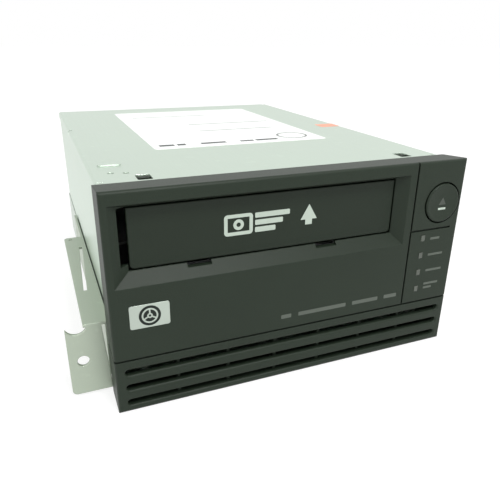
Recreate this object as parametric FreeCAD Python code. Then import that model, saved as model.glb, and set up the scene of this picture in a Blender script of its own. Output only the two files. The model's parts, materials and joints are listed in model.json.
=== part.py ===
import FreeCAD, Part
import math
import os

# A full-height 5.25 inch tape cartridge drive with a plastic bezel, a steel case and a mounting
# bracket on its left side. X is to the right as seen from the front, Y runs to the back and Z is
# up. The origin is the centre of the four mounting holes, on the underside of the case. Lengths
# are in millimetres.

Vec = FreeCAD.Vector
along_x, along_y, along_z = Vec(1, 0, 0), Vec(0, 1, 0), Vec(0, 0, 1)

# Cartridge, and the tray that carries it
cartridge_width = 105.4
cartridge_height = 21.5
cartridge_play = 0.3
tray_sheet = 1.0
tray_length = 76.0
tray_travel = 12.0
tray_front_gap = 19.0
tray_floor_drop = 0.6
tray_lip = 9.0
tray_lip_clearance = 1.0
tray_stop_height = 9.0
tray_pin_radius = 1.5
tray_pin_clearance = 0.15
tray_pin_inset = 10.0
tray_pin_proud = 0.6
side_plate_sheet = 1.2
side_plate_gap = 2.5
side_plate_margin = 2.0
side_plate_drop = 2.5
side_plate_foot = 5.0
side_plate_foot_length = 10.0
tape_window_edge = 1.5

# Deck, motors and reels
deck_drop = 13.7
deck_thickness = 3.0
deck_inset = 2.2
deck_front_gap = 21.0
deck_back_gap = 14.0
deck_corner = 4.0
deck_post_radius = 3.5
deck_post_inset = 10.0
deck_post_front = 28.0
deck_post_back = 24.0
deck_windows = ((-48.0, 19.0, 18.0, 34.0), (6.0, 33.0, 36.0, 16.0), (30.0, 73.0, 18.0, 44.0))
motor_radius = 21.0
motor_height = 9.0
motor_flange = 2.0
motor_can_inset = 2.5
motor_bevel = 1.0
motor_gap = 0.3
shaft_radius = 2.0
running_clearance = 0.05
supply_hub_radius = 17.0
supply_hub_back = 54.0
hub_teeth = 18
hub_tooth_length = 4.0
hub_tooth_height = 1.2
hub_drop = 0.8
hub_window_gap = 4.0
reel_radius = 37.0
reel_core_radius = 21.0
reel_flange = 1.2
reel_boss_radius = 9.0
reel_tape_gap = 0.8
reel_window_edge = 3.0
reel_window_share = 0.37
reel_gap = 5.5
reel_back_gap = 8.5
reel_side_step = -1.0
leader_slot_width = 6.0
leader_slot_depth = 7.0

# Tape path
tape_width = 12.65
tape_rise = 18.5
guide_gap = 2.2
guide_radius = 6.0
guide_flange_radius = 7.4
guide_flange = 1.0
guide_shaft_radius = 1.5
guide_foot_radius = 4.5
guide_neck_radius = 3.2
guide_foot_gap = 0.3
guide_shaft_proud = 1.6
guide_spacing = 19.0
entry_guide_gap = 1.0
entry_guide_back = 4.0
exit_guide_step = 8.0
exit_guide_back = 21.5
head_front_step = 16.5
head_gap = 0.3
head_nose_radius = 9.0
head_length = 14.0
head_depth = 4.0
head_slit = 0.8
head_slit_depth = 1.2
head_margin = 0.5
carriage_depth = 11.0
carriage_length = 22.0
carriage_margin = 1.0
carriage_corner = 1.2
head_rod_back = 9.5
head_rod_pitch = 15.0
head_rod_radius = 1.5
head_travel = 3.0
head_rod_proud = 4.0
actuator_width = 9.0
actuator_length = 9.6
head_actuator_step = 0.8
actuator_height = 9.0
coil_outer_radius = 4.0
coil_inner_radius = 2.6

# Loading gears
gear_module = 0.8
pinion_teeth = 14
wheel_teeth = 36
driver_teeth = 12
gear_width = 2.5
gear_backlash = 0.16
tooth_addendum = 0.75
tooth_dedendum = 1.2
tooth_root_share = 0.30
tooth_tip_share = 0.115
rack_root_flank = 0.32
rack_tip_flank = 0.29
gear_back = 51.0
gear_shaft_radius = 1.5
gear_rise = 1.2
rack_gap = 1.6
rack_rise = 0.4
rack_height = 5.0
rack_run = 19.0
load_motor_radius = 7.5
load_motor_height = 8.0
load_shaft_radius = 1.0
gear_room = 2.0

# Case
case_height = 82.55
cover_sheet = 1.0
pan_sheet = 1.2
pan_wall_height = 27.0
bend_radius = 1.2
bay_side_gap = 2.575
mechanism_room = 26.075
seam_gap = 0.2
lap_height = 6.0
lap_width = 16.0
lap_pitch = 60.0
lid_flange = 3.4
lid_step = 0.45
cover_front_gap = 0.4
joggle_length = 7.0
joggle_depth = 0.7
corner_slit_width = 0.9
corner_slit_back = 1.9
corner_slit_height = 8.0
corner_slit_reach = 3.2
emboss_height = 0.5
emboss_inset = 4.2
emboss_length = 9.0
emboss_width = 3.0
emboss_back = 27.0
dimple_radius = 1.3
dimple_depth = 0.5
dimple_places = ((7.4, 15.5), (12.8, 14.0))
fold_hole_radius = 1.2
fold_hole_back = 115.4
bead_width = 8.0
bead_height = 0.8
bead_pitch = 36.0
bead_end = 30.0
rear_lip = 9.0
rear_flange = 9.0
rear_panel_gap = 2.6
cover_screw_radius = 1.3
cover_screw_inset_left = 21.0
cover_screw_inset_right = 7.0
screw_clearance = 0.4
screw_length = 5.0
screw_head_radius = 2.7
screw_head_height = 1.5

# Mounting holes
hole_inset = 3.175
hole_pitch_y = 79.25
first_hole = 47.4
side_hole_low = 10.0
side_hole_high = 21.84
mount_hole_radius = 1.6

# Mounting bracket
bracket_sheet = 1.2
bracket_height = 29.75
bracket_plate_bottom = 3.0
bracket_length = 133.0
bracket_front_gap = 1.4
bracket_plate_setback = 4.0
shelf_reach = 9.6
shelf_length = 95.0
ear_reach = 16.2
ear_bottom = -0.25
ear_gap_low = 0.8
ear_gap_high = 3.0
ear_corner = 2.0
ear_hole_radius = 2.25
ear_hole_out = 10.8
ear_hole_z = 14.25
scallop_radius = 4.2
shelf_slot_start = 29.0
shelf_slot_end = 80.0
shelf_slot_front = 6.3
shelf_slot_back = 3.4
shelf_slot_width = 1.4
corner_hole_inset = 3.0
corner_hole_radius = 1.0
bracket_screw_radius = 1.5
bracket_screw_z = 15.9
bracket_screw_play = 0.1

# Bezel
bezel_overhang = 1.225
bezel_drop = 1.25
bezel_rise = 1.7
bezel_depth = 15.0
bezel_wall = 2.5
bezel_roof = 1.9
bezel_slope = 1.4
bezel_edge = 1.2
groove_width = 0.8
groove_depth = 0.7
strip_groove_gap = 5.35
strip_groove_end = 4.0
vent_groove_rise = 22.35
vent_count = 3
vent_pitch = 6.5
vent_first_rise = 4.0
vent_height = 2.4
vent_end_margin = 3.6
vent_edge = 0.9
rib_thickness = 1.2
rib_depth = 4.0
rib_count = 6
clip_width = 4.6
clip_thickness = 1.3
clip_reach = 9.0
clip_gap = 0.3
clip_barb = 3.0
clip_barb_height = 1.0
clip_root = 3.0
clip_inset_left = 17.775
clip_inset_right = 15.775
clip_slot_width = 5.5
clip_slot_length = 7.5
clip_slot_back = 2.4
clip_slot_corner = 0.8

# Door, its opening and its hinge
door_side_slack = 1.35
door_slack = 1.7
door_drop = 5.05
recess_left = 6.0
recess_right = 4.0
recess_below = 4.6
recess_above = 1.8
recess_depth = 4.2
recess_wall = 2.2
rim_depth = 1.0
side_slot_width = 2.8
side_slot_rise = 2.4
side_slot_depth = 2.0
sill_notch_width = 9.0
sill_notch_depth = 1.4
sill_notch_places = (-28.75, 23.25)
door_gap = 0.5
door_thickness = 1.6
door_edge = 0.4
door_corner = 1.6
door_rib_pitch = 27.0
door_rib_width = 1.2
door_rib_height = 0.8
door_rib_margin = 3.5
door_axis_back = 2.6
door_axis_rise = 2.3
door_pin_radius = 1.0
knuckle_radius = 1.6
knuckle_width = 6.0
knuckle_inset = 1.5
ear_gap_left = 3.4
ear_gap_right = 0.4
ear_thickness = 2.0
ear_back = 3.0
ear_drop = 4.0
ear_rise = 1.9
spring_gap = 0.5
spring_wire = 0.4
spring_length = 2.5
spring_leg = 2.3

# Eject button, lights and badge
button_inset = 10.2
button_below_top = 18.1
button_radius = 8.3
button_gap = 0.6
button_proud = 0.6
button_travel = 1.2
button_skirt = 1.0
button_seat_gap = 0.2
button_hole_lip = 2.0
button_dish = 0.5
button_edge = 0.7
stem_radius = 2.2
switch_size = 6.0
switch_height = 3.4
switch_plunger_radius = 1.6
switch_plunger = 0.6
light_from_groove = 6.8
light_width = 1.8
light_height = 2.6
light_count = 4
light_margin_low = 6.55
light_margin_high = 3.2
light_proud = 0.15
lamp_size = 2.2
lamp_depth = 0.9
under_button_drop = 11.6
badge_inset = 6.65
badge_width = 14.4
badge_height = 9.2
badge_gap = 7.0
badge_thickness = 0.5
badge_proud = 0.1
badge_corner = 0.8

# Circuit boards and connectors
board_sheet = 1.6
main_board_z = 5.6
board_margin = 5.5
board_front_gap = 6.0
board_back_gap = 11.0
board_post_radius = 2.6
board_screw_radius = 1.2
board_post_inset = 6.5
board_post_back = 37.0
board_chip_places = ((-30.0, 61.0, 28.0, 2.4), (20.0, 51.0, 24.0, 2.0), (38.0, 111.0, 16.0, 1.6),
                     (-20.0, 121.0, 20.0, 2.2), (10.0, 101.0, 12.0, 1.4), (-46.0, 101.0, 10.0, 1.4),
                     (24.0, 143.0, 12.0, 1.6), (-48.0, 33.0, 12.0, 1.6))
panel_board_gap = 1.2
panel_board_inset = 1.5
panel_board_below = 2.9
panel_board_above = 5.25
panel_boss_radius = 2.0
panel_boss_inset = 7.75
panel_boss_step = 3.8
panel_boss_rises = (6.9, 26.9)
connector_proud = 1.5
connector_root = 9.0
connector_depth = 7.0
connector_clearance = 0.4
data_inset = 41.0
data_width = 66.0
data_height = 10.0
data_wall = 1.5
data_blade_inset = 4.0
data_blade_half = 1.1
power_inset = 27.0
power_width = 23.0
power_height = 11.0
power_wall = 1.2
power_bevel = 2.0
power_pins = 4
power_pin_pitch = 5.08
power_pin_radius = 1.0

# Fan
fan_size = 40.0
fan_depth = 10.0
fan_wall = 1.4
fan_corner = 2.5
fan_hub_radius = 10.5
fan_hub_gap = 0.4
fan_tip_gap = 0.7
fan_blades = 7
fan_blade_thickness = 0.9
fan_spindle_radius = 1.0
fan_spider = 1.6
fan_arm_width = 2.4
fan_rotor_gap = 0.8
fan_root_pitch = 38.0
fan_tip_pitch = 24.0
fan_hole_inset = 4.0
fan_screw_radius = 1.5
fan_inset = 29.0
fan_below_top = 31.55
grille_slot = 3.2
grille_pitch = 5.2
grille_rings = 3
grille_start = 4.0
grille_bar = 1.8

# Widths across the case
tray_half = cartridge_width / 2 + cartridge_play + tray_sheet
plate_half = tray_half + side_plate_gap
bay_width = 2 * (plate_half + side_plate_sheet)
case_width = 2 * cover_sheet + bay_side_gap + bay_width + mechanism_room
half_width = case_width / 2
half_bezel = half_width + bezel_overhang
half_hole_x = half_width - hole_inset
bay_centre = -half_width + cover_sheet + bay_side_gap + bay_width / 2
door_left = bay_centre - cartridge_width / 2 - door_side_slack
door_right = bay_centre + cartridge_width / 2 + door_side_slack
button_x = half_bezel - button_inset
strip_groove_x = button_x - button_radius - button_gap - strip_groove_gap
light_x = strip_groove_x + light_from_groove
badge_left = -half_bezel + badge_inset
rack_line_x = bay_centre + tray_half + rack_gap
pinion_radius = gear_module * pinion_teeth / 2
wheel_radius = gear_module * wheel_teeth / 2
driver_radius = gear_module * driver_teeth / 2
gear_x = rack_line_x + pinion_radius
plate_outside = bay_centre + plate_half + side_plate_sheet
guide_line_x = plate_outside + guide_gap + guide_flange_radius
head_front_x = guide_line_x + head_gap
head_rod_x = head_front_x + head_rod_back
reel_x = bay_centre + reel_side_step
board_half = half_width - pan_sheet - board_margin
data_x = -half_width + data_inset
power_x = half_width - power_inset
fan_x = half_width - fan_inset
clip_places = (-half_width + clip_inset_left, half_width - clip_inset_right)
cover_screw_x = (-half_width + cover_screw_inset_left, 0.0, half_width - cover_screw_inset_right)

# Depths from the front to the back
case_depth = (tray_front_gap + tray_length + tray_travel + reel_gap + 2 * reel_radius + reel_back_gap)
case_front = -(first_hole + hole_pitch_y / 2)
case_back = case_front + case_depth
cover_front = case_front + cover_front_gap
face_y = case_front - bezel_depth
bezel_inner_y = face_y + bezel_wall
door_face = face_y + recess_depth
rim_y = door_face + rim_depth
door_axis_y = door_face + door_axis_back
panel_board_y = case_front - panel_board_gap
switch_front = panel_board_y - board_sheet - switch_height
clip_slot_start = case_front + clip_slot_back
tray_front = case_front + tray_front_gap
tray_back = tray_front + tray_length
tray_pin_places = (tray_front + tray_pin_inset, tray_back - tray_pin_inset)
gear_y = case_front + gear_back
driver_y = gear_y - wheel_radius - driver_radius
supply_hub_y = case_front + supply_hub_back
reel_y = tray_back + tray_travel + reel_gap + reel_radius
head_y = reel_y - head_front_step
head_rod_places = (head_y - head_rod_pitch / 2, head_y + head_rod_pitch / 2)
guide_places = ((plate_outside + entry_guide_gap + guide_flange_radius, tray_back + entry_guide_back),
                (guide_line_x + guide_radius, head_y - guide_spacing),
                (guide_line_x + guide_radius, head_y + guide_spacing),
                (guide_line_x - exit_guide_step, reel_y + exit_guide_back))
rear_panel_y = case_back - cover_sheet
fan_back = rear_panel_y - cover_sheet
board_front = case_front + board_front_gap
board_back = case_back - board_back_gap
deck_front = case_front + deck_front_gap
deck_back = rear_panel_y - deck_back_gap
deck_post_places = [(side * (half_width - deck_post_inset), y) for side in (-1, 1)
                    for y in (case_front + deck_post_front, case_back - deck_post_back)]
board_post_places = [(side * (board_half - board_post_inset), y) for side in (-1, 1)
                     for y in (board_front + board_post_inset, board_back - board_post_back)]
board_post_places.append((0.0, board_front + board_post_inset))

# Heights above the underside
bezel_bottom = -bezel_drop
bezel_top = case_height + bezel_rise
cover_under = case_height - cover_sheet
cover_low = pan_wall_height + seam_gap
door_top = case_height - door_drop
door_bottom = door_top - cartridge_height - door_slack
door_axis_z = door_top + door_axis_rise
tray_floor_top = door_bottom - tray_floor_drop
tray_top = tray_floor_top + cartridge_height + tray_lip_clearance
tray_pin_z = tray_floor_top + cartridge_height / 2
deck_top = tray_floor_top - deck_drop
tape_bottom = deck_top + tape_rise
tape_top = tape_bottom + tape_width
hub_bottom = deck_top + motor_height + motor_gap
hub_top = tray_floor_top - tray_sheet - hub_drop
reel_floor = tape_bottom - reel_tape_gap - reel_flange
reel_ceiling = tape_top + reel_tape_gap
wheel_bottom = deck_top + load_motor_height + gear_rise
rack_bottom = wheel_bottom + gear_width + rack_rise
rack_top = rack_bottom + rack_height
button_z = bezel_top - button_below_top
under_button_z = button_z - under_button_drop
vent_groove_z = bezel_bottom + vent_groove_rise
light_low, light_high = vent_groove_z + light_margin_low, under_button_z - light_margin_high
light_pitch = (light_high - light_low) / (light_count - 1)
light_heights = [light_low + place * light_pitch for place in range(light_count)]
badge_bottom = door_bottom - recess_below - badge_gap - badge_height
board_top = main_board_z + board_sheet
cover_screw_z = case_height - rear_lip * 0.55
fan_z = case_height - fan_below_top
fan_inner_radius = fan_size / 2 - fan_wall
fan_hole_offset = fan_size / 2 - fan_hole_inset
fan_holes = [(fan_x + x * fan_hole_offset, fan_z + z * fan_hole_offset) for x in (-1, 1) for z in (-1, 1)]


def box(x0, x1, y0, y1, z0, z1):
    return Part.makeBox(x1 - x0, y1 - y0, z1 - z0, Vec(x0, y0, z0))


def rod(x, y, z, radius, length, direction=along_z):
    return Part.makeCylinder(radius, length, Vec(x, y, z), direction)


def tube(x, y, z, outer, inner, length, direction=along_z):
    return rod(x, y, z, outer, length, direction).cut(rod(x, y, z, inner, length, direction))


def fuse(first, *rest):
    return first.fuse(list(rest)).removeSplitter()


def cut(first, *rest):
    return first.cut(list(rest))


def group(solids):
    return Part.makeCompound(solids)


def face_of(points):
    return Part.Face(Part.makePolygon([*points, points[0]]))


def across(points, y0, y1):
    # a solid whose outline is given as (x, z) pairs and which runs along Y
    return face_of([Vec(x, y0, z) for x, z in points]).extrude(Vec(0, y1 - y0, 0))


def upright(points, z0, z1):
    # a solid whose outline is given as (x, y) pairs and which runs along Z
    return face_of([Vec(x, y, z0) for x, y in points]).extrude(Vec(0, 0, z1 - z0))


def sideways(points, x0, x1):
    # a solid whose outline is given as (y, z) pairs and which runs along X
    return face_of([Vec(x0, y, z) for y, z in points]).extrude(Vec(x1 - x0, 0, 0))


def runs_along(edge, axis):
    if len(edge.Vertexes) < 2:
        return False
    step = edge.Vertexes[1].Point.sub(edge.Vertexes[0].Point)
    return abs(abs(step.dot(axis)) - edge.Length) < 1e-6


def round_edges(solid, radius, chosen):
    return solid.makeFillet(radius, [edge for edge in solid.Edges if chosen(edge)])


def round_box(x0, x1, y0, y1, z0, z1, radius, axis):
    return round_edges(box(x0, x1, y0, y1, z0, z1), radius, lambda edge: runs_along(edge, axis))


def wall_hole(x, z, radius, y, depth):
    return rod(x, y - depth, z, radius, 2 * depth, along_y)


def turned(solid, angle, x, y, axis=along_z, z=0.0):
    # a solid that was made round the origin, turned about an axis and then moved to its place
    solid.rotate(Vec(0, 0, 0), axis, angle)
    return solid.translated(Vec(x, y, z))


def pan_head_screw(x, y, z, direction, radius, length=screw_length, head_radius=screw_head_radius):
    head_start = Vec(x, y, z) - direction * screw_head_height
    head = Part.makeCylinder(head_radius, screw_head_height, head_start, direction)
    return fuse(rod(x, y, z, radius, length, direction), head)


def recess_funnel(wall):
    # the slopes that lead from the bezel's face down to the door, grown outwards by a wall
    above = min(wall, rim_depth)
    mouth = [(door_left - recess_left - wall, door_bottom - recess_below - wall),
             (door_right + recess_right + wall, door_bottom - recess_below - wall),
             (door_right + recess_right + wall, door_top + recess_above + above),
             (door_left - recess_left - wall, door_top + recess_above + above)]
    throat = [(door_left - wall, door_bottom - wall), (door_right + wall, door_bottom - wall),
              (door_right + wall, door_top + wall), (door_left - wall, door_top + wall)]
    rings = [Part.makePolygon([Vec(x, y, z) for x, z in [*ring, ring[0]]])
             for y, ring in ((face_y, mouth), (door_face, throat))]
    return Part.makeLoft(rings, True, True)


def front_bezel():
    outline = [(face_y, bezel_bottom), (case_front, bezel_bottom),
               (case_front, bezel_top - bezel_slope), (face_y, bezel_top)]
    shell = sideways(outline, -half_bezel, half_bezel)
    shell = round_edges(shell, bezel_edge, lambda edge: edge.BoundBox.YMax < face_y + 0.01)
    shell = cut(shell, bezel_hollow(), *vents())
    shell = round_edges(shell, vent_edge, on_vent_mouth)
    rim = box(door_left - recess_wall, door_right + recess_wall, door_face, rim_y,
              door_bottom - recess_wall, door_top + recess_wall)
    outside = [box(-half_bezel, half_bezel, face_y - 1, bezel_inner_y - 0.5, bezel_bottom, bezel_top),
               box(-half_bezel, half_bezel, face_y, case_front, bezel_top - bezel_wall, bezel_top)]
    shell = fuse(shell, cut(fuse(recess_funnel(recess_wall), rim), *outside), *door_ears())
    shell = cut(shell, recess_funnel(0), *door_way(), *grooves(), *light_holes(), badge_seat(),
                wall_hole(button_x, button_z, button_radius + button_gap, face_y, bezel_wall + button_hole_lip))
    return fuse(shell, *vent_ribs(), *bezel_clips(), *panel_bosses())


def bezel_hollow():
    sides = half_bezel - bezel_wall
    behind = case_front + 1
    return sideways([(bezel_inner_y, bezel_bottom + bezel_wall), (behind, bezel_bottom + bezel_wall),
                     (behind, bezel_top - bezel_slope - bezel_roof), (bezel_inner_y, bezel_top - bezel_wall)],
                    -sides, sides)


def door_way():
    # the opening itself, the dark slot beside its left edge and the notches in its sill
    behind = rim_y + 1
    slot = box(door_left - side_slot_width, door_left + 0.1, door_face - side_slot_depth, behind,
               door_bottom + side_slot_rise, door_top)
    notches = [box(bay_centre + place - sill_notch_width / 2, bay_centre + place + sill_notch_width / 2,
                   door_face - sill_notch_depth, behind, door_bottom - sill_notch_depth, door_bottom + 1)
               for place in sill_notch_places]
    return [box(door_left, door_right, door_face - 0.1, behind, door_bottom, door_top), slot, *notches]


def door_ears():
    # two plates behind the face that hold the ends of the door's pin
    plates = []
    for x in (door_left - ear_gap_left - ear_thickness, door_right + ear_gap_right):
        plate = box(x, x + ear_thickness, bezel_inner_y - 0.2, door_axis_y + ear_back, door_top - ear_drop,
                    door_axis_z + ear_rise)
        seat = rod(x, door_axis_y, door_axis_z, door_pin_radius, ear_thickness, along_x)
        plates.append(cut(plate, seat))
    return plates


def vents():
    end = half_bezel - vent_end_margin
    rows = [bezel_bottom + vent_first_rise + row * vent_pitch for row in range(vent_count)]
    return [round_box(-end, end, face_y - 1, bezel_inner_y + 1, z - vent_height / 2, z + vent_height / 2,
                      vent_height / 2 - 0.05, along_y) for z in rows]


def on_vent_mouth(edge):
    bounds = edge.BoundBox
    on_face = abs(bounds.YMin - face_y) < 0.01 and abs(bounds.YMax - face_y) < 0.01
    inside = bounds.ZMin > bezel_bottom + bezel_edge + 0.1 and bounds.ZMax < bezel_top - bezel_edge - 0.1
    return on_face and inside and abs(bounds.XMin) < half_bezel - bezel_edge - 0.1


def vent_ribs():
    span = 2 * (half_bezel - vent_end_margin)
    top = bezel_bottom + vent_first_rise + (vent_count - 0.5) * vent_pitch
    places = [-span / 2 + span * (place + 1) / (rib_count + 1) for place in range(rib_count)]
    return [box(x - rib_thickness / 2, x + rib_thickness / 2, bezel_inner_y - 0.1, bezel_inner_y + rib_depth,
                bezel_bottom + bezel_wall - 0.1, top) for x in places]


def grooves():
    # the lines in the face that part the vents, the door's panel and the strip of lights
    floor = face_y + groove_depth
    low, high = vent_groove_z - groove_width / 2, vent_groove_z + groove_width / 2
    level = box(-half_bezel, half_bezel, face_y - 1, floor, low, high)
    wraps = [box(side, side + groove_depth, face_y, case_front, low, high)
             for side in (-half_bezel, half_bezel - groove_depth)]
    stem = box(strip_groove_x - groove_width / 2, strip_groove_x + groove_width / 2, face_y - 1, floor,
               vent_groove_z, bezel_top + 1)
    under_button = box(strip_groove_x, half_bezel - strip_groove_end, face_y - 1, floor,
                       under_button_z, under_button_z + groove_width)
    return [level, stem, under_button, *wraps]


def light_holes():
    return [box(light_x - light_width / 2, light_x + light_width / 2, face_y - 1, bezel_inner_y + 1,
                z - light_height / 2, z + light_height / 2) for z in light_heights]


def bezel_clips():
    # snap tongues that pass under the top of the cover, each with a barb in its slot
    clips = []
    end = case_front + clip_reach
    top = cover_under - clip_gap
    for x in clip_places:
        left, right = x - clip_width / 2, x + clip_width / 2
        tongue = box(left, right, case_front - clip_root, end, top - clip_thickness, top)
        barb = sideways([(end, top), (end - clip_barb, top), (end - clip_barb, top + clip_barb_height),
                         (end - clip_barb * 0.6, top + clip_barb_height)], left, right)
        root = box(left, right, case_front - clip_root - 1, case_front - clip_root + 0.2, top - clip_thickness,
                   top + clip_barb_height)
        clips += [tongue, barb, root]
    return clips


def panel_bosses():
    start = bezel_inner_y - 0.2
    places = [(half_bezel - panel_boss_inset, vent_groove_z + rise) for rise in panel_boss_rises]
    places.append((strip_groove_x + panel_boss_step, bezel_top - panel_boss_inset))
    return [rod(x, start, z, panel_boss_radius, panel_board_y - board_sheet - start, along_y)
            for x, z in places]


def badge_seat():
    return box(badge_left, badge_left + badge_width, face_y - 1, face_y + badge_thickness,
               badge_bottom, badge_bottom + badge_height)


def badge_plate():
    return round_box(badge_left, badge_left + badge_width, face_y - badge_proud, face_y + badge_thickness,
                     badge_bottom, badge_bottom + badge_height, badge_corner, along_y)


def tape_door():
    left, right = door_left + door_gap, door_right - door_gap
    back = door_face + door_thickness
    panel = box(left, right, door_face, back, door_bottom + door_gap, door_top - door_gap)
    panel = round_edges(panel, door_corner, lambda edge: runs_along(edge, along_y)
                        and edge.BoundBox.ZMax < door_bottom + door_gap + 0.01)
    panel = round_edges(panel, door_edge, lambda edge: edge.BoundBox.YMax < door_face + 0.01)
    ribs = [box(x - door_rib_width / 2, x + door_rib_width / 2, back - 0.2, back + door_rib_height,
                door_bottom + door_rib_margin, door_top - door_rib_margin)
            for x in (bay_centre - door_rib_pitch, bay_centre, bay_centre + door_rib_pitch)]
    knuckles = [door_knuckle(door_left + knuckle_inset),
                door_knuckle(door_right - knuckle_inset - knuckle_width)]
    return fuse(panel, *ribs, *knuckles)


def door_knuckle(x):
    # a barrel on the pin, with the arm that carries the door past the edge of its opening
    start, top = door_face + door_thickness - 0.3, door_top - door_gap
    behind = door_axis_y + 0.75 * knuckle_radius
    barrel = rod(x, door_axis_y, door_axis_z, knuckle_radius, knuckle_width, along_x)
    arm = sideways([(start, top - 2.5), (behind, top - 1.7), (behind, door_axis_z),
                    (door_axis_y - door_pin_radius, door_axis_z), (rim_y + 0.6, top), (start, top)],
                   x, x + knuckle_width)
    bore = rod(x, door_axis_y, door_axis_z, door_pin_radius + running_clearance, knuckle_width, along_x)
    return cut(fuse(barrel, arm), bore)


def door_hinge_pin():
    start = door_left - ear_gap_left - ear_thickness
    end = door_right + ear_gap_right + ear_thickness
    return rod(start, door_axis_y, door_axis_z, door_pin_radius, end - start, along_x)


def door_spring():
    # a close-wound torsion spring on the pin, beside the left knuckle, with a leg that hangs down
    x = door_left + knuckle_inset + knuckle_width + spring_gap
    inner = door_pin_radius + running_clearance
    coil = tube(x, door_axis_y, door_axis_z, inner + spring_wire, inner, spring_length, along_x)
    leg = rod(x + spring_length / 2, door_axis_y + inner + spring_wire, door_axis_z, spring_wire / 2,
              spring_leg, -along_z)
    return fuse(coil, leg)


def eject_button():
    # a round cap with a dished front, a skirt that keeps it in and the stem that works the switch
    front = face_y - button_proud
    behind = bezel_inner_y + button_seat_gap
    cap = rod(button_x, front, button_z, button_radius, behind - front, along_y)
    cap = round_edges(cap, button_edge, lambda edge: edge.BoundBox.YMax < front + 0.01)
    dish_edge = button_radius - button_edge
    dish = (dish_edge ** 2 + button_dish ** 2) / (2 * button_dish)
    cap = cut(cap, Part.makeSphere(dish, Vec(button_x, front + button_dish - dish, button_z)))
    skirt = rod(button_x, behind, button_z, button_radius + button_gap + button_skirt, button_skirt, along_y)
    side = half_bezel - bezel_wall - button_seat_gap - 0.1
    skirt = cut(skirt, box(side, half_bezel + button_radius, bezel_inner_y, case_front, 0, case_height))
    stem = rod(button_x, behind, button_z, stem_radius, switch_front - button_travel - 0.1 - behind, along_y)
    return fuse(cap, skirt, stem)


def eject_switch():
    body = box(button_x - switch_size / 2, button_x + switch_size / 2, switch_front + switch_plunger,
               panel_board_y - board_sheet, button_z - switch_size / 2, button_z + switch_size / 2)
    plunger = rod(button_x, switch_front, button_z, switch_plunger_radius, switch_plunger + 0.2, along_y)
    return fuse(body, plunger)


def front_panel_board():
    return box(strip_groove_x + panel_board_inset, half_bezel - bezel_wall - 0.4,
               panel_board_y - board_sheet, panel_board_y,
               vent_groove_z + panel_board_below, bezel_top - panel_board_above)


def led_light_pipes():
    pipes = []
    board = panel_board_y - board_sheet
    for z in light_heights:
        pipe = box(light_x - light_width / 2, light_x + light_width / 2, face_y - light_proud,
                   board - lamp_depth, z - light_height / 2, z + light_height / 2)
        lamp = box(light_x - lamp_size / 2, light_x + lamp_size / 2, board - lamp_depth, board,
                   z - lamp_size / 2, z + lamp_size / 2)
        pipes.append(fuse(pipe, lamp))
    return group(pipes)


def base_pan():
    outer = box(-half_width, half_width, case_front, case_back, 0, pan_wall_height)
    outer = round_edges(outer, bend_radius + pan_sheet / 2,
                        lambda edge: runs_along(edge, along_y) and edge.BoundBox.ZMax < 0.01)
    inside = half_width - pan_sheet
    inner = box(-inside, inside, case_front - 1, case_back + 1, pan_sheet, pan_wall_height + 1)
    beads = [stiffening_bead(x) for x in (-bead_pitch, 0, bead_pitch)]
    return cut(fuse(cut(outer, inner), *beads), *mount_holes(-half_width - 1, half_width + 1),
               *bracket_screw_holes(-half_width - 1, -inside + 1))


def stiffening_bead(x):
    top = pan_sheet + bead_height
    bead = box(x - bead_width / 2, x + bead_width / 2, case_front + bead_end, case_back - bead_end,
               pan_sheet - 0.2, top)
    return bead.makeChamfer(bead_height * 0.9, [edge for edge in bead.Edges if edge.BoundBox.ZMin > top - 0.01])


def mount_holes(left, right):
    # four holes in the underside, and four in each side of the case
    places = (-hole_pitch_y / 2, hole_pitch_y / 2)
    under = [rod(x, y, -1, mount_hole_radius, pan_sheet + 2)
             for x in (-half_hole_x, half_hole_x) for y in places]
    sides = [rod(left, y, z, mount_hole_radius, right - left, along_x)
             for y in places for z in (side_hole_low, side_hole_high)]
    return [*under, *sides]


def bracket_screw_holes(left, right):
    # the bracket's own screws sit between the two rows of the standard holes, which stay free
    return [rod(left, y, bracket_screw_z, bracket_screw_radius + bracket_screw_play, right - left, along_x)
            for y in (-hole_pitch_y / 2, hole_pitch_y / 2)]


def cover_length(start, end, top):
    # one length of the cover: a lid whose edges fold down over side panels that lie a step further in
    panel = half_width - lid_step
    fold = top - lid_flange
    outline = [(-half_width, top), (-half_width, fold), (-panel, fold), (-panel, cover_low),
               (panel, cover_low), (panel, fold), (half_width, fold), (half_width, top)]
    solid = across(outline, start, end)
    return round_edges(solid, bend_radius,
                       lambda edge: runs_along(edge, along_y) and edge.BoundBox.ZMin > top - 0.01)


def top_cover():
    # a lid with sides and a lip at the back, which is set down a little where the rear panel meets it
    inside = half_width - cover_sheet
    step = case_back - joggle_length
    low = cover_low - 1
    shell = fuse(cover_length(cover_front, step, case_height),
                 cover_length(step, case_back, case_height - joggle_depth))
    hollow = fuse(box(-inside, inside, cover_front - 1, step - cover_sheet, low, cover_under),
                  box(-inside, inside, step - cover_sheet, rear_panel_y, low, cover_under - joggle_depth))
    behind = box(-half_width - 1, half_width + 1, rear_panel_y, case_back + 1, low, cover_under - rear_lip)
    raised = round_box(-half_width + emboss_inset, -half_width + emboss_inset + emboss_length,
                       case_front + emboss_back, case_front + emboss_back + emboss_width,
                       case_height - 0.1, case_height + emboss_height, emboss_width * 0.4, along_z)
    return cut(fuse(cut(shell, hollow, behind), raised, *cover_laps()), *cover_cuts())


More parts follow.
